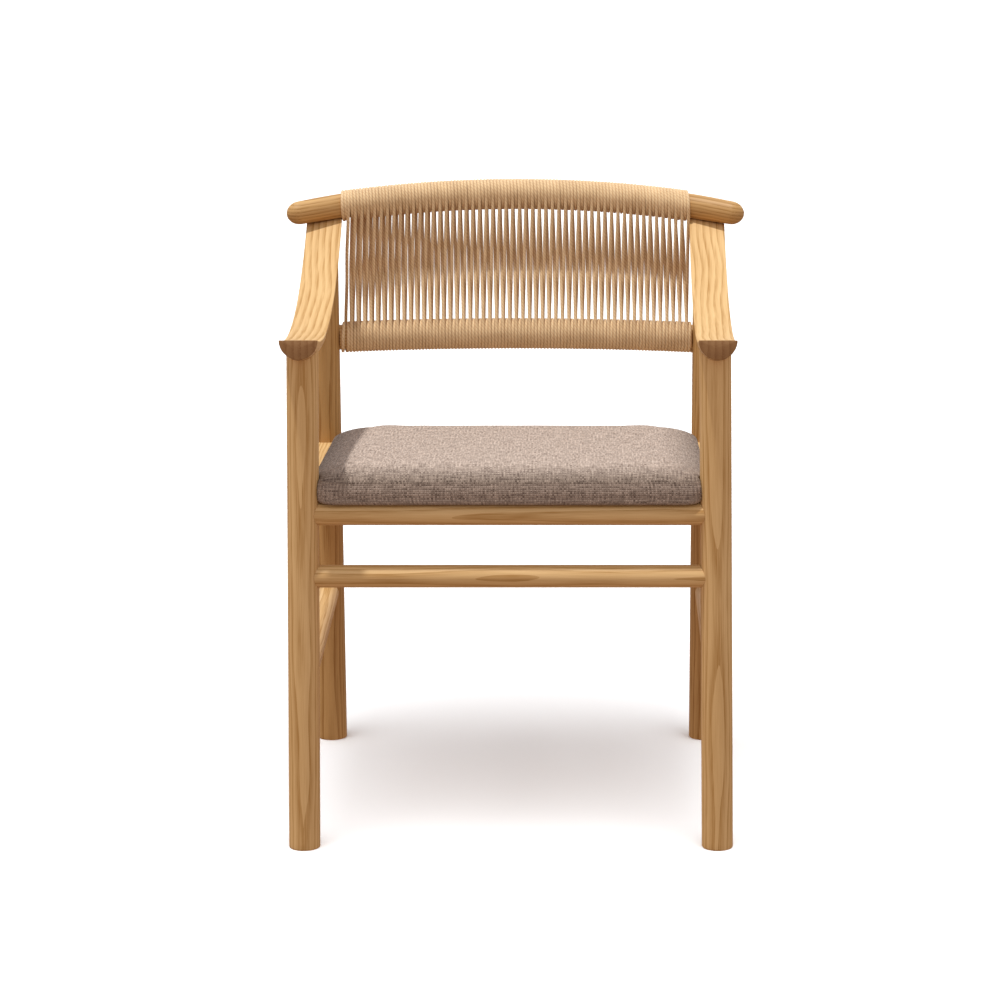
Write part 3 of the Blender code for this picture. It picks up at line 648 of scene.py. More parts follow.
# %% [markdown]
# ## The cord
#
# One paper cord, twisted from three plies, makes the whole back.  It climbs
# from the front of the lower rail to the back of the crest rail, goes twice
# over the crest rail, comes down from its front to the back of the lower rail,
# goes twice under that one and climbs again.  The two slanting sheets cross
# half-way up.  Each rail takes a full pitch of cord, and each slanting run
# goes half a pitch back, so the runs line up at the rails, where slits stay
# open, and stand side by side at the crossing, where they close the back.
#
# A turn lies in an upright plane, where a round rail that is bowed in plan
# cuts as an oval.  An oval touches a slanting line where the line's normal
# meets it, which gives the ends of each straight run.

# %% Ovals and the lines that touch two of them
CORD_D = 4.5 * MM
CORD_SET = 1.95 * MM       # the cord lies a little flattened on the bars
PERIODS = 53              # figures of eight from side to side
CREST_TURN_HALF = 0.2318  # from the middle of the crest rail to its last turn
LOWER_TURN_HALF = 0.2345  # and of the lower rail


def crest_x(turn):
    """Across place of a turn on the crest rail: turns lie evenly along the bowed bar."""
    span = math.asin(CREST_TURN_HALF / CREST_BOW)
    return CREST_BOW * np.sin(span * (2 * turn / PERIODS - 1))


def lower_x(turn):
    """The same for the lower rail."""
    span = math.asin(LOWER_TURN_HALF / LOWER_BOW)
    return LOWER_BOW * np.sin(span * (2 * turn / PERIODS - 1))


def crest_oval(x):
    """Centre (y, z) and the two half-axis vectors of the cord's line round the crest rail."""
    slant = np.sqrt(1 - (x / CREST_BOW) ** 2)[..., None]
    radius = CREST_R + CORD_SET
    back = np.array([math.cos(CREST_TILT), math.sin(CREST_TILT)]) * radius / slant
    up = np.array([-math.sin(CREST_TILT), math.cos(CREST_TILT)]) * radius
    return crest_line(x)[..., 1:], back, np.broadcast_to(up, back.shape)


def lower_oval(x):
    """The same round the lower rail."""
    slant = np.sqrt(1 - (x / LOWER_BOW) ** 2)[..., None]
    back = np.array([1.0, 0.0]) * (LOWER_THICK / 2 + CORD_SET) / slant
    up = np.array([0.0, 1.0]) * (LOWER_TALL / 2 + CORD_SET)
    return lower_line(x)[..., 1:], back, np.broadcast_to(up, back.shape)


def width_along(oval, normal):
    """Support width of an oval: the root of the sum of squares of its half axes along normal."""
    _, back, up = oval
    return np.sqrt((back * normal).sum(-1) ** 2 + (up * normal).sum(-1) ** 2)


def touch_angle(oval, normal):
    """Angle round the oval, 0 at its back and quarter turn at its top, where normal points out."""
    _, back, up = oval
    return np.arctan2((up * normal).sum(-1), (back * normal).sum(-1))


def crossing_line(upper, lower, side):
    """Normal of the line that passes behind the upper oval and before the lower one (side 1),
    or the other way round (side -1): the centres' distance along it is minus both widths."""
    apart = upper[0] - lower[0]
    far = np.linalg.norm(apart, axis=-1)
    heading = np.arctan2(apart[..., 1], apart[..., 0])
    angle = heading - side * math.pi / 2
    for _ in range(8):
        normal = np.stack([np.cos(angle), np.sin(angle)], -1)
        width = width_along(upper, normal) + width_along(lower, normal)
        angle = heading - side * np.arccos(-width / far)
    return np.stack([np.cos(angle), np.sin(angle)], -1)


# %% [markdown]
# The route is worked out one stage at a time for all periods together: the
# arrays have a row for each period and a column for each step.  On a rail the
# angle runs on steadily while the place along the rail moves half a pitch on
# each pass over the outside.  A hand-wound cord is never quite even, so each
# run's ends are moved by a few tenths of a millimetre, always by the same
# seeded draw.

# %% Route of the cord
RUN_STEPS = 30
WIND_STEPS = 84
UNEVEN = 0.13 * MM
SLACK = 2.3 * MM          # how far the first climbing runs were set over, fading along the rail
LEAN_EASE = 0.6           # runs stay in line near the rails and cross over in between
CROSSING = 0.455          # share of the way down where the runs stand evenly
FULL = 2 * math.pi
draw = np.random.default_rng(7)
count = np.arange(PERIODS)[:, None]
uneven = np.clip(draw.normal(0, UNEVEN, (4, PERIODS, 1)), -2 * UNEVEN, 2 * UNEVEN)
loose = draw.normal(0, 1, (PERIODS, 1))
slack = SLACK * np.clip(1.9 - count / 9 + 0.35 * loose, 0, 1) * ((count > 0) & (count < 17))


def on_oval(oval, angle):
    """Point of an oval at an angle: centre + back axis * cosine + up axis * sine."""
    centre, back, up = oval
    return centre + back * np.cos(angle)[..., None] + up * np.sin(angle)[..., None]


def touching(turn_crest, turn_lower, side):
    """Angles at which a slanting run leaves both rails."""
    upper, lower = crest_oval(crest_x(turn_crest)), lower_oval(lower_x(turn_lower))
    normal = crossing_line(upper, lower, side)
    return touch_angle(upper, normal), touch_angle(lower, -normal)


def passes(swept):
    """Pitch gained after this angle: half a pitch, eased, on each pass over the outside."""
    first, second = np.clip(swept, 0, math.pi), np.clip(swept - FULL, 0, math.pi)
    return (2 - np.cos(first) - np.cos(second)) / 4


def wound(line_x, oval, start_turn, start, stop, way, nudge):
    """Cord round a rail between two angles, gaining a pitch; the two nudges move its ends and
    fade out within the first and the last fifth of its steps."""
    share = np.linspace(0, 1, WIND_STEPS)[None]
    angle = start + (stop - start) * share
    x = line_x(start_turn + passes(way * angle))
    x = x + nudge[0] * np.clip(1 - 5 * share, 0, 1) + nudge[1] * np.clip(5 * share - 4, 0, 1)
    return np.concatenate([x[..., None], on_oval(oval(x), angle)], -1)


def straight_run(top, bottom, set_over=0.0):
    """A taut run: straight but for x, which eases past its neighbours at the crossing.
    A run whose top end was set over swings a little past its place there, and ends in it."""
    share = np.linspace(0, 1, RUN_STEPS)[1:-1]
    bend = np.interp(share, [0, CROSSING, 1], [0, 0.5, 1])
    eased = bend - LEAN_EASE * np.sin(2 * FULL * bend) / (2 * FULL)
    run = top + (bottom - top) * share[None, :, None]
    run[..., 0] = top[..., 0] - set_over + (bottom[..., 0] - top[..., 0] + set_over) * eased
    run[..., 0] += set_over * np.interp(bend, [0, 0.5, 0.7, 1], [1, -0.2, -0.2, 0])
    return run


climb_crest, climb_lower = touching(count + 0.0, count + 0.5, 1)
fall_crest, fall_lower = touching(count + 1.0, count + 0.5, -1)
crest_turns = wound(crest_x, crest_oval, count, climb_crest, fall_crest % FULL + FULL, 1,
                    (uneven[0] + slack, uneven[1]))
next_climb = np.roll(climb_lower, -1, 0) % FULL - 2 * FULL
lower_turns = wound(lower_x, lower_oval, count + 0.5, fall_lower, next_climb, -1,
                    (uneven[2], np.roll(uneven[3], -1, 0)))
fall = straight_run(crest_turns[:, -1:], lower_turns[:, :1])
climb = straight_run(crest_turns[1:, :1], lower_turns[:-1, -1:], slack[1:])[:, ::-1]
print("one period of cord:", RUN_STEPS * 2 + WIND_STEPS * 2, "points")

# %% [markdown]
# The winding starts with a few plain turns on each rail, whose ends are tucked
# in at the back.  The crest's turns lead into the first falling run, which
# stands a little apart from the others.

# %% First turns and the whole path
PLAIN_STEPS = 40          # points in a plain turn
CLOSE = 0.88              # turns pulled together, in cord diameters


def plain_turns(line_x, oval, last_turn, last_angle, way, turns):
    """Turns side by side that end at the given place and angle, counted back from it."""
    share = np.linspace(1, 0, int(turns * PLAIN_STEPS))
    angle = last_angle - way * turns * FULL * share
    x = line_x(last_turn) - turns * CORD_D * CLOSE * share
    return np.stack([x, *on_oval(oval(x), angle).T], -1)


apart = np.array([-0.8 * MM, 0.0, 0.0])
first_crest = plain_turns(crest_x, crest_oval, 1.0, fall_crest[0, 0] % FULL + FULL, 1, 2.5)
first_lower = plain_turns(lower_x, lower_oval, 0.40, 0.0, -1, 1)
fall[0] += apart
lower_turns[0, :WIND_STEPS // 5] += apart
periods = [np.concatenate([climb[i - 1], crest_turns[i], fall[i], lower_turns[i]])
           for i in range(1, PERIODS)]
periods = [np.concatenate([first_crest[:-1], fall[0], lower_turns[0]])] + periods
periods[-1] = periods[-1][:-WIND_STEPS // 6]
cord_length = sum(path_length(part)[-1] for part in periods)
print("cord length", round(cord_length, 2), "m in", PERIODS, "periods")

# %% [markdown]
# The cord's tube needs a frame that never flips.  Its line stays close to
# upright planes, so the across direction, made square to the line, is always
# a safe first axis.

# %% A tube along the cord's path
CORD_SIDES = 10


def cord_mesh(name, path):
    """A round tube along a path, with a UV map: round it, and the length along it in metres."""
    ahead = unit(np.gradient(path, axis=0))
    first = unit(np.array([1.0, 0.0, 0.0]) - ahead * ahead[:, :1])
    second = np.cross(ahead, first)
    turn = np.arange(CORD_SIDES) * 2 * math.pi / CORD_SIDES
    ring = first[:, None] * np.cos(turn)[:, None] + second[:, None] * np.sin(turn)[:, None]
    mesh = closed_mesh(name, path[:, None] + ring * CORD_D / 2)
    along = np.append(path_length(path), [0.0, path_length(path)[-1]])
    loops = np.empty(len(mesh.loops), np.int32)
    mesh.loops.foreach_get("vertex_index", loops)
    row = np.where(loops >= len(path) * CORD_SIDES, loops - len(path) * CORD_SIDES + len(path),
                   loops // CORD_SIDES)
    side = (loops % CORD_SIDES) / CORD_SIDES
    quads = side[:(len(path) - 1) * CORD_SIDES * 4].reshape(-1, 4)
    quads += (quads < 0.5) & (quads.max(1, keepdims=True) > 0.85)
    layer = mesh.uv_layers.new(name="cord")
    layer.data.foreach_set("uv", np.stack([side, along[row]], -1).astype(np.float32).ravel())
    return mesh


# %% [markdown]
# ## Paper cord
#
# The cord is unbleached kraft paper, cut in strips that are twisted hard and
# then laid up in three plies.  The plies give a fine slanting ridge, and the
# crease between them is painted a darker shade; the dry paper scatters light
# almost evenly.  The pattern runs on the cord's own map, so it follows every turn.

# %% Paper cord material
PLY_PITCH = 15 * MM       # length in which one ply goes once round; really about 12 mm
PLIES = 3
PLY_DEEP = 0.3 * MM       # depth of the crease between two plies


def paper_cord(name, pale, dark):
    """Twisted paper: three plies as a wave that climbs round the cord, creases painted darker as shade.
    """
    material, tree, shader = new_material(name)
    place = add(tree, "UVMap", {}, uv_map="cord")["UV"]
    parts = add(tree, "SeparateXYZ", {0: place})
    climb = add(tree, "Math", {0: parts["Y"], 1: PLIES / PLY_PITCH}, operation="MULTIPLY")[0]
    phase = add(tree, "Math", {0: parts["X"], 1: float(PLIES), 2: climb}, operation="MULTIPLY_ADD")[0]
    phase = add(tree, "Math", {0: phase, 1: math.pi}, operation="MULTIPLY")[0]
    ridge = add(tree, "Math", {0: phase}, operation="SINE")[0]
    ridge = add(tree, "Math", {0: ridge}, operation="ABSOLUTE")[0]
    object_place = add(tree, "TexCoord", {})["Object"]
    patch = add(tree, "TexNoise", {"Vector": object_place, "Scale": 45.0, "Detail": 3.0})["Fac"]
    fibre = add(tree, "VectorMath", {0: place, 1: (14.0, 260.0, 1.0)}, operation="MULTIPLY")[0]
    fibre = add(tree, "TexNoise", {"Vector": fibre, "Scale": 1.0, "Detail": 2.0})["Fac"]
    # Painted shade: this share darkens the colour in the crease between plies.
    crease = add(tree, "MapRange", {0: ridge, 1: 0.0, 2: 0.55, 3: 0.55, 4: 0.0})[0]
    tone = add(tree, "Math", {0: patch, 1: 0.7, 2: crease}, operation="MULTIPLY_ADD")[0]
    tone = add(tree, "Math", {0: fibre, 1: 0.6, 2: tone}, operation="MULTIPLY_ADD")[0]
    tone = add(tree, "Math", {0: tone, 1: -0.45}, use_clamp=True)[0]
    colour = add(tree, "Mix", {0: tone, 6: linear(pale), 7: linear(dark)}, data_type="RGBA")[2]
    tree.links.new(colour, shader.inputs["Base Color"])
    shader.inputs["Roughness"].default_value = 0.72
    shader.inputs["Sheen Weight"].default_value = 0.15
    bump = add(tree, "Bump", {"Height": ridge, "Strength": 0.5, "Distance": PLY_DEEP})[0]
    tree.links.new(bump, shader.inputs["Normal"])
    return material


# The darker colour also gives the painted shade in the creases.
CORD = paper_cord("twisted_paper_cord", "#ECCDA0", "#AC8352")
print("ply pitch", PLY_PITCH)

# %% [markdown]
# The winding is split into three bays, which keeps each mesh at a size that
# other programs can open.  A bay starts at the last point of the one before,
# so the cord looks unbroken.

# %% Make the cord
BAYS = (("left", 0, 18), ("middle", 18, 35), ("right", 35, PERIODS))
CAD_CORD = ("crest_cord_wrap", "lower_cord_wrap", "cord_web")
piece("cord_first_turns", cord_mesh("cord_first_turns", first_lower), CORD, "paper_cord",
      *CAD_CORD)
for bay, first, last in BAYS:
    path = np.concatenate(periods[max(first - 1, 0):last])
    if first:
        path = path[len(periods[first - 1]) - 1:]
    piece("cord_winding_" + bay, cord_mesh("cord_winding_" + bay, path), CORD, "paper_cord",
          *CAD_CORD)

# %% [markdown]
# ## The seat pad
#
# The pad is a block of foam in a sewn cover: a top panel, and a boxing strip
# round its sides, joined by a seam.  Its top is nearly flat, its shoulders roll
# over, and its front corners press round the front legs.
#
# As a surface it is a square of unit cells.  Rings of the square are carried
# to rings of the pad's plan outline, a rectangle with round corners, and the
# height depends on how far in from the edge a ring is.

# %% The pad's outline and heights
PAD_LOW, PAD_HIGH = (np.array(c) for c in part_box("seat_cover"))
PAD_HALF = 0.2425
PAD_FRONT_Y, PAD_REAR_Y = PAD_LOW[1], PAD_HIGH[1]
PAD_CELLS = 60
PAD_FRONT_CORNER = 0.026
PAD_REAR_CORNER = 0.054
SEAT_FRONT_Z = 0.4423
SEAT_RAKE = 0.0385        # fall of the seat per metre towards the back
SEAM_FRONT = 0.0300       # height of the seam over the seat frame, at the front
SEAM_REAR = 0.0170        # and at the rear
SHOULDER_IN = 0.052       # width of the rounded shoulder inside the seam
SHOULDER_UP = 0.0140      # and its rise
ROLL_PAINTED_SHADE = 0.85          # how much painted shade darkens the cloth at the seam, where it rolls over
SIDE_PAINTED_SHADE = 0.50          # and how much painted shade on the upright sides and the underside
BOXING_ROWS = 7
BELLY = 0.012             # how far the boxing bulges, as a share of the pad's half width
PAD_DROOP = 2 * MM        # how far the front edge sinks past the rail under it


def pad_outline(a, b):
    """Plan outline for a point of the unit square's edge: inner corner plus a round corner."""
    corner = np.where(b < 0, PAD_FRONT_CORNER, PAD_REAR_CORNER)
    middle_y = (PAD_FRONT_Y + PAD_REAR_Y) / 2
    half_y = (PAD_REAR_Y - PAD_FRONT_Y) / 2
    x, y = a * PAD_HALF, b * half_y
    inner_x = np.clip(x, -PAD_HALF + corner, PAD_HALF - corner)
    inner_y = np.clip(y, -half_y + corner, half_y - corner)
    away = unit(np.stack([x - inner_x, y - inner_y], -1) + 1e-9)
    return inner_x + corner * away[..., 0], middle_y + inner_y + corner * away[..., 1]


def seat_z(y):
    """Height of the seat frame under the pad."""
    droop = np.clip((FRONT_Y - 6 * MM - y) / (10 * MM), 0, 1)
    return SEAT_FRONT_Z - SEAT_RAKE * (y - FRONT_Y) - PAD_DROOP * droop


def seam_height(y):
    """Height of the seam over the seat frame: the pad thins towards the back."""
    share = (y - PAD_FRONT_Y) / (PAD_REAR_Y - PAD_FRONT_Y)
    return SEAM_FRONT + (SEAM_REAR - SEAM_FRONT) * share


def shoulder(inside):
    """Rise of the top panel at a distance in from the seam: a quarter of an oval."""
    share = 1 - np.clip(inside / SHOULDER_IN, 0, 1)
    return SHOULDER_UP * (1 - share ** 1.7) ** 0.75


def round_legs(x, y):
    """Push points out of the front legs, away from each leg's axis, with a little clearance."""
    for side in (-1, 1):
        axis = on_leg("front", side, SEAT_FRONT_Z + 0.02)
        dx, dy = x - axis[0], y - axis[1]
        near = np.maximum(np.hypot(dx, dy), 1e-6)
        push = np.maximum(1.0, (FRONT_LEG_R + 0.8 * MM) / near)
        x, y = axis[0] + dx * push, axis[1] + dy * push
    return x, y


# %% [markdown]
# All parts of the cover share their points along the seam and the lower edge,
# so the pad is one closed skin.  The same function also works out how far each
# point is rolled over, which sets how much painted shade darkens the cloth's
# colour later.

# %% Points and faces of the pad
EDGE_CLOSE = 0.86         # how strongly the cells crowd towards the edges, below 1
UNDER_SHRINK = (0.988, 0.995)  # size of the underside against the rim, across and in depth


def pad_surface():
    """Top, boxing and underside on one set of shared points: a point of the unit square with
    ring r (its larger coordinate) goes to r times the outline's point on its ray."""
    n = PAD_CELLS
    crowd = math.pi / 2 * EDGE_CLOSE
    line = np.sin(np.linspace(-1, 1, n + 1) * crowd) / math.sin(crowd)
    a, b = np.meshgrid(line, line, indexing="ij")
    ring = np.maximum(np.abs(a), np.abs(b))
    safe = np.maximum(ring, 1e-6)
    edge_x, edge_y = pad_outline(a / safe, b / safe)
    middle_y = (PAD_FRONT_Y + PAD_REAR_Y) / 2
    x, y = edge_x * ring, middle_y + (edge_y - middle_y) * ring
    x, y = round_legs(x, y)
    inside = (1 - ring) * PAD_HALF
    top_z = seat_z(y) + seam_height(y) + shoulder(inside)
    rim_i = np.concatenate([np.arange(n), np.full(n, n), np.arange(n, 0, -1), np.zeros(n, int)])
    rim_j = np.concatenate([np.zeros(n, int), np.arange(n), np.full(n, n), np.arange(n, 0, -1)])
    rim_x, rim_y = x[rim_i, rim_j], y[rim_i, rim_j]
    top = np.stack([x, y, top_z], -1).reshape(-1, 3)
    under_y = middle_y + (y - middle_y) * UNDER_SHRINK[1]
    under = np.stack([x * UNDER_SHRINK[0], under_y, seat_z(under_y)], -1).reshape(-1, 3)
    share = np.linspace(0, 1, BOXING_ROWS + 1)[1:-1, None]
    belly = 1 + BELLY * np.sin(share * math.pi)
    side_x, side_y = rim_x * belly, middle_y + (rim_y - middle_y) * belly
    side_x, side_y = round_legs(side_x, side_y)
    side_z = seat_z(side_y) + seam_height(side_y) * share
    sides = np.stack([side_x, side_y, side_z], -1).reshape(-1, 3)
    cells = (n + 1) ** 2
    index = np.arange(cells).reshape(n + 1, n + 1)
    quad = np.stack([index[:-1, :-1], index[1:, :-1], index[1:, 1:], index[:-1, 1:]], -1)
    quad = quad.reshape(-1, 4)
    rim = index[rim_i, rim_j]
    between = np.arange(4 * n * (BOXING_ROWS - 1)).reshape(-1, 4 * n) + 2 * cells
    rows = np.vstack([rim + cells, between, rim])
    band = np.stack([rows[:-1], np.roll(rows[:-1], -1, 1), np.roll(rows[1:], -1, 1), rows[1:]], -1)
    faces = np.concatenate([quad, quad[:, ::-1] + cells, band.reshape(-1, 4)])
    kind = np.repeat([0, 1, 2], [n * n, n * n, 4 * n * BOXING_ROWS])
    around = path_length(np.stack([rim_x, rim_y], -1))
    # Painted shade share: strongest at the seam and fading inwards over the shoulder, and an even share
    # on the boxing and the underside.
    roll = np.concatenate([(ROLL_PAINTED_SHADE * np.clip(1 - inside / SHOULDER_IN, 0, 1) ** 1.3).ravel(),
                           np.full(cells + len(sides), SIDE_PAINTED_SHADE)])
    return np.concatenate([top, under, sides]), faces, kind, rows, around, roll


pad_points, pad_faces, pad_kind, pad_rows, pad_around, pad_painted_shade = pad_surface()
print("pad", len(pad_faces), "faces, top at", round(pad_points[:, 2].max(), 4))

# %% [markdown]
# The cover is stretched over foam that pushes back evenly, which is what
# pressure does in a cloth simulation.  The pad's underside and lowest row are
# pinned, as if stapled to the seat board, and the rest swells a little.  The
# swelling is capped, so that the pad keeps to its space, and added to the
# worked-out surface.

# %% Let the foam push the cover out
SWELL_CAP = 1.5 * MM
SWELL_STEPS = 16
PRESSURE = 4.0


def swollen(points, faces, pinned):
    """Cloth with pressure and no gravity for a few steps; moves are cut to the cap."""
    mesh = bpy.data.meshes.new("pad_trial")
    mesh.from_pydata(points.tolist(), [], faces.tolist())
    trial = bpy.data.objects.new("pad_trial", mesh)
    bpy.context.scene.collection.objects.link(trial)
    trial.vertex_groups.new(name="pinned").add(pinned.tolist(), 1.0, "REPLACE")
    cloth = trial.modifiers.new("cloth", "CLOTH")
    cloth.settings.use_pressure = True
    cloth.settings.uniform_pressure_force = PRESSURE
    cloth.settings.quality = 6
    cloth.settings.effector_weights.gravity = 0.0
    cloth.settings.vertex_group_mass = "pinned"
    cloth.point_cache.frame_end = SWELL_STEPS
    for step in range(1, SWELL_STEPS + 1):
        bpy.context.scene.frame_set(step)
    shape = trial.evaluated_get(bpy.context.evaluated_depsgraph_get()).to_mesh()
    moved = np.empty(len(points) * 3)
    shape.vertices.foreach_get("co", moved)
    trial.evaluated_get(bpy.context.evaluated_depsgraph_get()).to_mesh_clear()
    bpy.data.objects.remove(trial)
    bpy.context.scene.frame_set(1)
    move = moved.reshape(-1, 3) - points
    size = np.linalg.norm(move, axis=1, keepdims=True)
    return points + move * np.minimum(1, SWELL_CAP / np.maximum(size, 1e-9))


cells = (PAD_CELLS + 1) ** 2
pinned = np.concatenate([np.arange(cells, 2 * cells), pad_rows[1]])
pad_points = swollen(pad_points, pad_faces, pinned)
pad_points[:, 0], pad_points[:, 1] = round_legs(pad_points[:, 0], pad_points[:, 1])
print("pad top now", round(pad_points[:, 2].max(), 4))

# %% [markdown]
# ## Tweed
#
# The cover is a plain weave of mixed grey and beige wool yarns, about 1.3 mm
# apart.  Where a yarn passes over its neighbour it stands up, and the hollows
# beside it are painted a darker shade.  Each yarn has its own shade that
# changes slowly along it, which gives the short dashes that the eye reads as
# tweed.  The weave runs on the panel's own UV map, in metres, so it turns at the
# seam as cut cloth does.  Shade is also painted into the cloth's colour where it
# rolls over at the shoulder and on its upright sides and underside, the faces
# that turn away from the overhead lamp, and an attribute called roll says how far.

# %% Tweed material
YARN = 2.4 * MM           # yarn spacing; really 1.3 mm, drawn coarser so that it shows
STRETCH = 0.14            # shade changes this much slower along a yarn than across it
YARN_DEEP = 0.45 * MM     # height of a yarn over the hollow beside it


def tweed(name, pale, painted_hollow_shade, dark, away):
    """Weave height: a sine across each yarn set, swapped over and under like a chequer.
    Where the cloth rolls over and on its sides, painted shade multiplies its colour by away; the
    hollows between the yarns are painted darker as shade too."""
    material, tree, shader = new_material(name)
    place = add(tree, "UVMap", {}, uv_map="cloth")["UV"]
    warp = add(tree, "VectorMath", {0: place, 1: (1 / YARN, STRETCH / YARN, 1.0)},
               operation="MULTIPLY")[0]
    weft = add(tree, "VectorMath", {0: place, 1: (STRETCH / YARN, 1 / YARN, 1.0)},
               operation="MULTIPLY")[0]
    warp_shade = add(tree, "TexNoise", {"Vector": warp, "Scale": 1.0, "Detail": 1.0})["Fac"]
    weft = add(tree, "VectorMath", {0: weft, 1: (31.0, 17.0, 5.0)}, operation="ADD")[0]
    weft_shade = add(tree, "TexNoise", {"Vector": weft, "Scale": 1.0, "Detail": 1.0})["Fac"]
    parts = add(tree, "SeparateXYZ", {0: place})
    wave_x = add(tree, "Math", {0: parts["X"], 1: math.pi / YARN}, operation="MULTIPLY")[0]
    wave_x = add(tree, "Math", {0: wave_x}, operation="SINE")[0]
    wave_y = add(tree, "Math", {0: parts["Y"], 1: math.pi / YARN}, operation="MULTIPLY")[0]
    wave_y = add(tree, "Math", {0: wave_y}, operation="SINE")[0]
    over = add(tree, "Math", {0: wave_x, 1: wave_y}, operation="MULTIPLY")[0]
    which = add(tree, "MapRange", {0: over, 1: -0.15, 2: 0.15})[0]
    shade = add(tree, "Mix", {0: which, 2: warp_shade, 3: weft_shade}, data_type="FLOAT")[0]
    height = add(tree, "Math", {0: over}, operation="ABSOLUTE")[0]
    wide = add(tree, "VectorMath", {0: place, 1: (60.0, 60.0, 1.0)}, operation="MULTIPLY")[0]
    cloud = add(tree, "TexNoise", {"Vector": wide, "Scale": 1.0, "Detail": 2.0})["Fac"]
    tone = add(tree, "MapRange", {0: shade, 1: 0.30, 2: 0.70})[0]
    tone = add(tree, "Math", {0: cloud, 1: 0.30, 2: tone}, operation="MULTIPLY_ADD")[0]
    tone = add(tree, "Math", {0: tone, 1: -0.15}, use_clamp=True)[0]
    low = add(tree, "Mix", {0: tone, 6: linear(dark), 7: linear(pale)}, data_type="RGBA")[2]
    # Painted shade: the hollows between the yarns are mixed towards a darker colour.
    hollow = add(tree, "MapRange", {0: height, 1: 0.0, 2: 0.5, 3: 0.45, 4: 0.0})[0]
    colour = add(tree, "Mix", {0: hollow, 6: low, 7: linear(painted_hollow_shade)}, data_type="RGBA")[2]
    # Painted shade: the roll attribute darkens the colour towards a grey where the cloth rolls over and
    # on its sides.
    roll = add(tree, "Attribute", {}, attribute_name="roll")["Fac"]
    colour = add(tree, "Mix", {0: roll, 6: colour, 7: linear(away)}, data_type="RGBA",
                 blend_type="MULTIPLY")[2]
    tree.links.new(colour, shader.inputs["Base Color"])
    shader.inputs["Roughness"].default_value = 0.95
    shader.inputs["Sheen Weight"].default_value = 0.08
    shader.inputs["Specular IOR Level"].default_value = 0.2
    bump = add(tree, "Bump", {"Height": height, "Strength": 0.7, "Distance": YARN_DEEP})[0]
    tree.links.new(bump, shader.inputs["Normal"])
    return material


# The third colour is painted shade for the hollows between the yarns; the last, a grey, is painted
# shade where the cloth rolls over and on its sides.
TWEED = tweed("wool_tweed", "#DDC9BA", "#9C8A7E", "#75645A", "#A8A29C")
print("yarn spacing", YARN)

# %% [markdown]
# The panels take their cloth map straight from the plan.  The boxing is a
# strip, so its map is the length round the rim and the height.  The seam keeps
# its crisp line because its edges are creased before the subdivision.

# %% Make the pad
MAP_CLOSE = 8 * MM        # length of the last step round the rim, back to its start


def pad_mesh(name):
    """The pad's mesh with its cloth map: plan metres on the panels, girth metres on the boxing."""
    mesh = bpy.data.meshes.new(name)
    mesh.from_pydata(pad_points.tolist(), [], pad_faces.tolist())
    loops = np.empty(len(mesh.loops), np.int32)
    mesh.loops.foreach_get("vertex_index", loops)
    uv = pad_points[loops][:, :2].copy()
    boxing = np.repeat(pad_kind == 2, 4)
    count = pad_rows.shape[1]
    steps = np.arange(count)
    ends_at = np.append(pad_around, pad_around[-1] + MAP_CLOSE)[steps + 1]
    along = np.stack([pad_around[steps], ends_at, ends_at, pad_around[steps]], -1)
    uv[boxing, 0] = np.tile(along.ravel(), BOXING_ROWS)
    uv[boxing, 1] = pad_points[loops][boxing, 2]
    layer = mesh.uv_layers.new(name="cloth")
    layer.data.foreach_set("uv", uv.astype(np.float32).ravel())
    # The roll attribute holds each point's share of painted shade.
    roll = mesh.attributes.new("roll", "FLOAT", "POINT")
    roll.data.foreach_set("value", pad_painted_shade.astype(np.float32))
    mesh.shade_smooth()
    rim = np.sort(np.stack([pad_rows[-1], np.roll(pad_rows[-1], -1)], -1), 1)
    ends = np.empty(len(mesh.edges) * 2, np.int32)
    mesh.edges.foreach_get("vertices", ends)
    ends = np.sort(ends.reshape(-1, 2), 1)
    count = len(pad_points)
    on_rim = np.isin(ends[:, 0] * count + ends[:, 1], rim[:, 0] * count + rim[:, 1])
    crease = mesh.attributes.new("crease_edge", "FLOAT", "EDGE")
    crease.data.foreach_set("value", on_rim.astype(np.float32))
    return mesh


pad = piece("seat_pad", pad_mesh("seat_pad"), TWEED, "tweed", "seat_cover", "seat_foam")
smooth = pad.modifiers.new("smooth", "SUBSURF")
smooth.levels = 1
smooth.render_levels = 1

# %% [markdown]
# ## Hidden and small pieces
#
# The seat board, its corner blocks, the screws and the dowels keep their
# solids from the frame.  They only show from below or not at all, but each
# has its own finish.

# %% Finishes for the pieces that keep their solids
def plywood(name):
    """Rotary-cut birch: a long, wavy figure of slow noise drawn out along x."""
    material, tree, shader = new_material(name)
    place = add(tree, "TexCoord", {})["Object"]
    long = add(tree, "VectorMath", {0: place, 1: (8.0, 90.0, 30.0)}, operation="MULTIPLY")[0]
    figure = add(tree, "TexNoise", {"Vector": long, "Scale": 1.0, "Detail": 3.0})["Fac"]
    colour = add(tree, "Mix", {0: figure, 6: linear("#D9BE93"), 7: linear("#B48F5E")},
                 data_type="RGBA")[2]
    tree.links.new(colour, shader.inputs["Base Color"])
    shader.inputs["Roughness"].default_value = 0.6
    return material


def zinc_steel(name):
    """Zinc-plated screws: pale grey metal, its shine broken up by a fine cloudy roughness."""
    material, tree, shader = new_material(name)
    place = add(tree, "TexCoord", {})["Object"]
    cloud = add(tree, "TexNoise", {"Vector": place, "Scale": 900.0, "Detail": 2.0})["Fac"]
    rough = add(tree, "MapRange", {0: cloud, 3: 0.28, 4: 0.48})[0]
    tree.links.new(rough, shader.inputs["Roughness"])
    shader.inputs["Base Color"].default_value = linear("#B9BABC")
    shader.inputs["Metallic"].default_value = 1.0
    return material


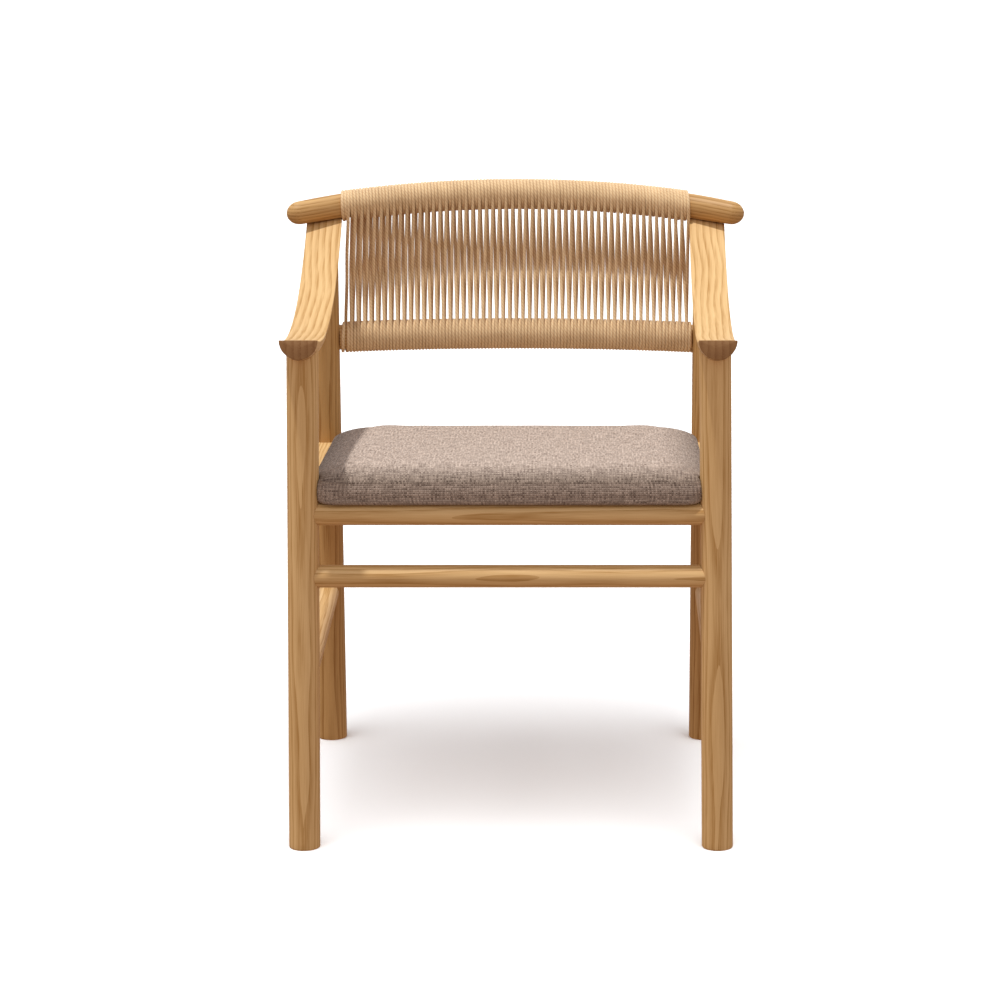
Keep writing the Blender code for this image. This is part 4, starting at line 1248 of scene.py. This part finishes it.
# Glue blocks and dowels are ash too, sawn and unoiled, with the grain lying level.
ASH_BLOCK = oiled_ash("sawn_ash", "#CDA478", "#97683A", "Object", (0.0, math.pi / 2, 0.0))
KEPT = {"seat_panel": plywood("birch_plywood"), "seat_screw": zinc_steel("zinc_plated_steel"),
        "corner_block": ASH_BLOCK, "crest_dowel": ASH_BLOCK}
for name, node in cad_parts.items():
    for start, material in KEPT.items():
        if name.startswith(start):
            node.data.materials.clear()
            node.data.materials.append(material)
print("kept nodes finished")

# %% [markdown]
# ## Floor and light
#
# A pale studio.  The sky is an even soft white, and what comes from below is
# about half as bright and warm, as from a wooden floor.  One lamp almost
# straight above, a little to the left and in front, makes faces that look up
# much brighter than upright ones, and its small size gives the arm a crisp
# shadow on the pad.
#
# The studio floor must look white without glaring up at the chair, so it is
# hidden from bounced light and has its own broad lamp, which leaves only a
# faint, soft shadow.  Light linking says which lamp lights what.

# %% Floor
SKY = (0.74, 0.72, 0.73, 1.0)
GROUND = (0.46, 0.30, 0.21, 1.0)
KEY_COLOUR = (0.98, 1.0, 0.99)
KEY_POWER = 2.5
KEY_SIZE = math.radians(2.4)
KEY_TURN = (math.radians(4), math.radians(-10), 0.0)
FLOOR_HALF = 40.0
HORIZON = 0.2             # half height of the soft band between sky and ground
FLOOR_POWER = 3.2
FLOOR_LAMP_SIZE = math.radians(72)
FLOOR_TURN = (math.radians(27), math.radians(-2), 0.0)

floor_mesh = bpy.data.meshes.new("floor")
floor_corners = [(x * FLOOR_HALF, y * FLOOR_HALF, 0.0) for x, y in ((-1, -1), (1, -1), (1, 1), (-1, 1))]
floor_mesh.from_pydata(floor_corners, [], [(0, 1, 2, 3)])
floor = bpy.data.objects.new("floor", floor_mesh)
bpy.context.scene.collection.objects.link(floor)
floor_material, _, floor_shader = new_material("white_studio_floor")
floor_shader.inputs["Base Color"].default_value = (0.94, 0.95, 0.95, 1.0)
floor_shader.inputs["Roughness"].default_value = 1.0
floor_shader.inputs["Specular IOR Level"].default_value = 0.0
floor_mesh.materials.append(floor_material)
floor.visible_diffuse = False
floor.visible_glossy = False

print("floor", 2 * FLOOR_HALF, "m wide")

# %% [markdown]
# The sky surrounds everything.  A direction's height above the horizon blends
# the ground's colour into the sky's over a soft band.

# %% Sky
world = bpy.data.worlds.new("studio")
world.use_nodes = True
bpy.context.scene.world = world
direction = add(world.node_tree, "TexCoord", {})["Generated"]
height = add(world.node_tree, "SeparateXYZ", {0: direction})["Z"]
height = add(world.node_tree, "MapRange", {0: height, 1: -HORIZON, 2: HORIZON})[0]
sky = add(world.node_tree, "Mix", {0: height, 6: GROUND, 7: SKY}, data_type="RGBA")[2]
world.node_tree.links.new(sky, world.node_tree.nodes["Background"].inputs["Color"])
print("sky", SKY[:3], "ground", GROUND[:3])

# %% [markdown]
# Each lamp is a far-off disc, so its light is even over the whole chair and
# only its angular size matters for how soft the shadows are.

# %% Lamps
def lamp(name, colour, power, size, turn, state):
    """A distant lamp.  State INCLUDE lights the floor only, EXCLUDE everything but the floor."""
    made = bpy.data.objects.new(name, bpy.data.lights.new(name, "SUN"))
    made.data.color = colour
    made.data.energy = power
    made.data.angle = size
    made.rotation_euler = turn
    bpy.context.scene.collection.objects.link(made)
    lit = bpy.data.collections.new(name + "_floor")
    lit.objects.link(floor)
    lit.collection_objects[0].light_linking.link_state = state
    made.light_linking.receiver_collection = lit


lamp("key_lamp", KEY_COLOUR, KEY_POWER, KEY_SIZE, KEY_TURN, "EXCLUDE")
lamp("floor_lamp", (1.0, 1.0, 1.0), FLOOR_POWER, FLOOR_LAMP_SIZE, FLOOR_TURN, "INCLUDE")
print("lamps", KEY_POWER, FLOOR_POWER)
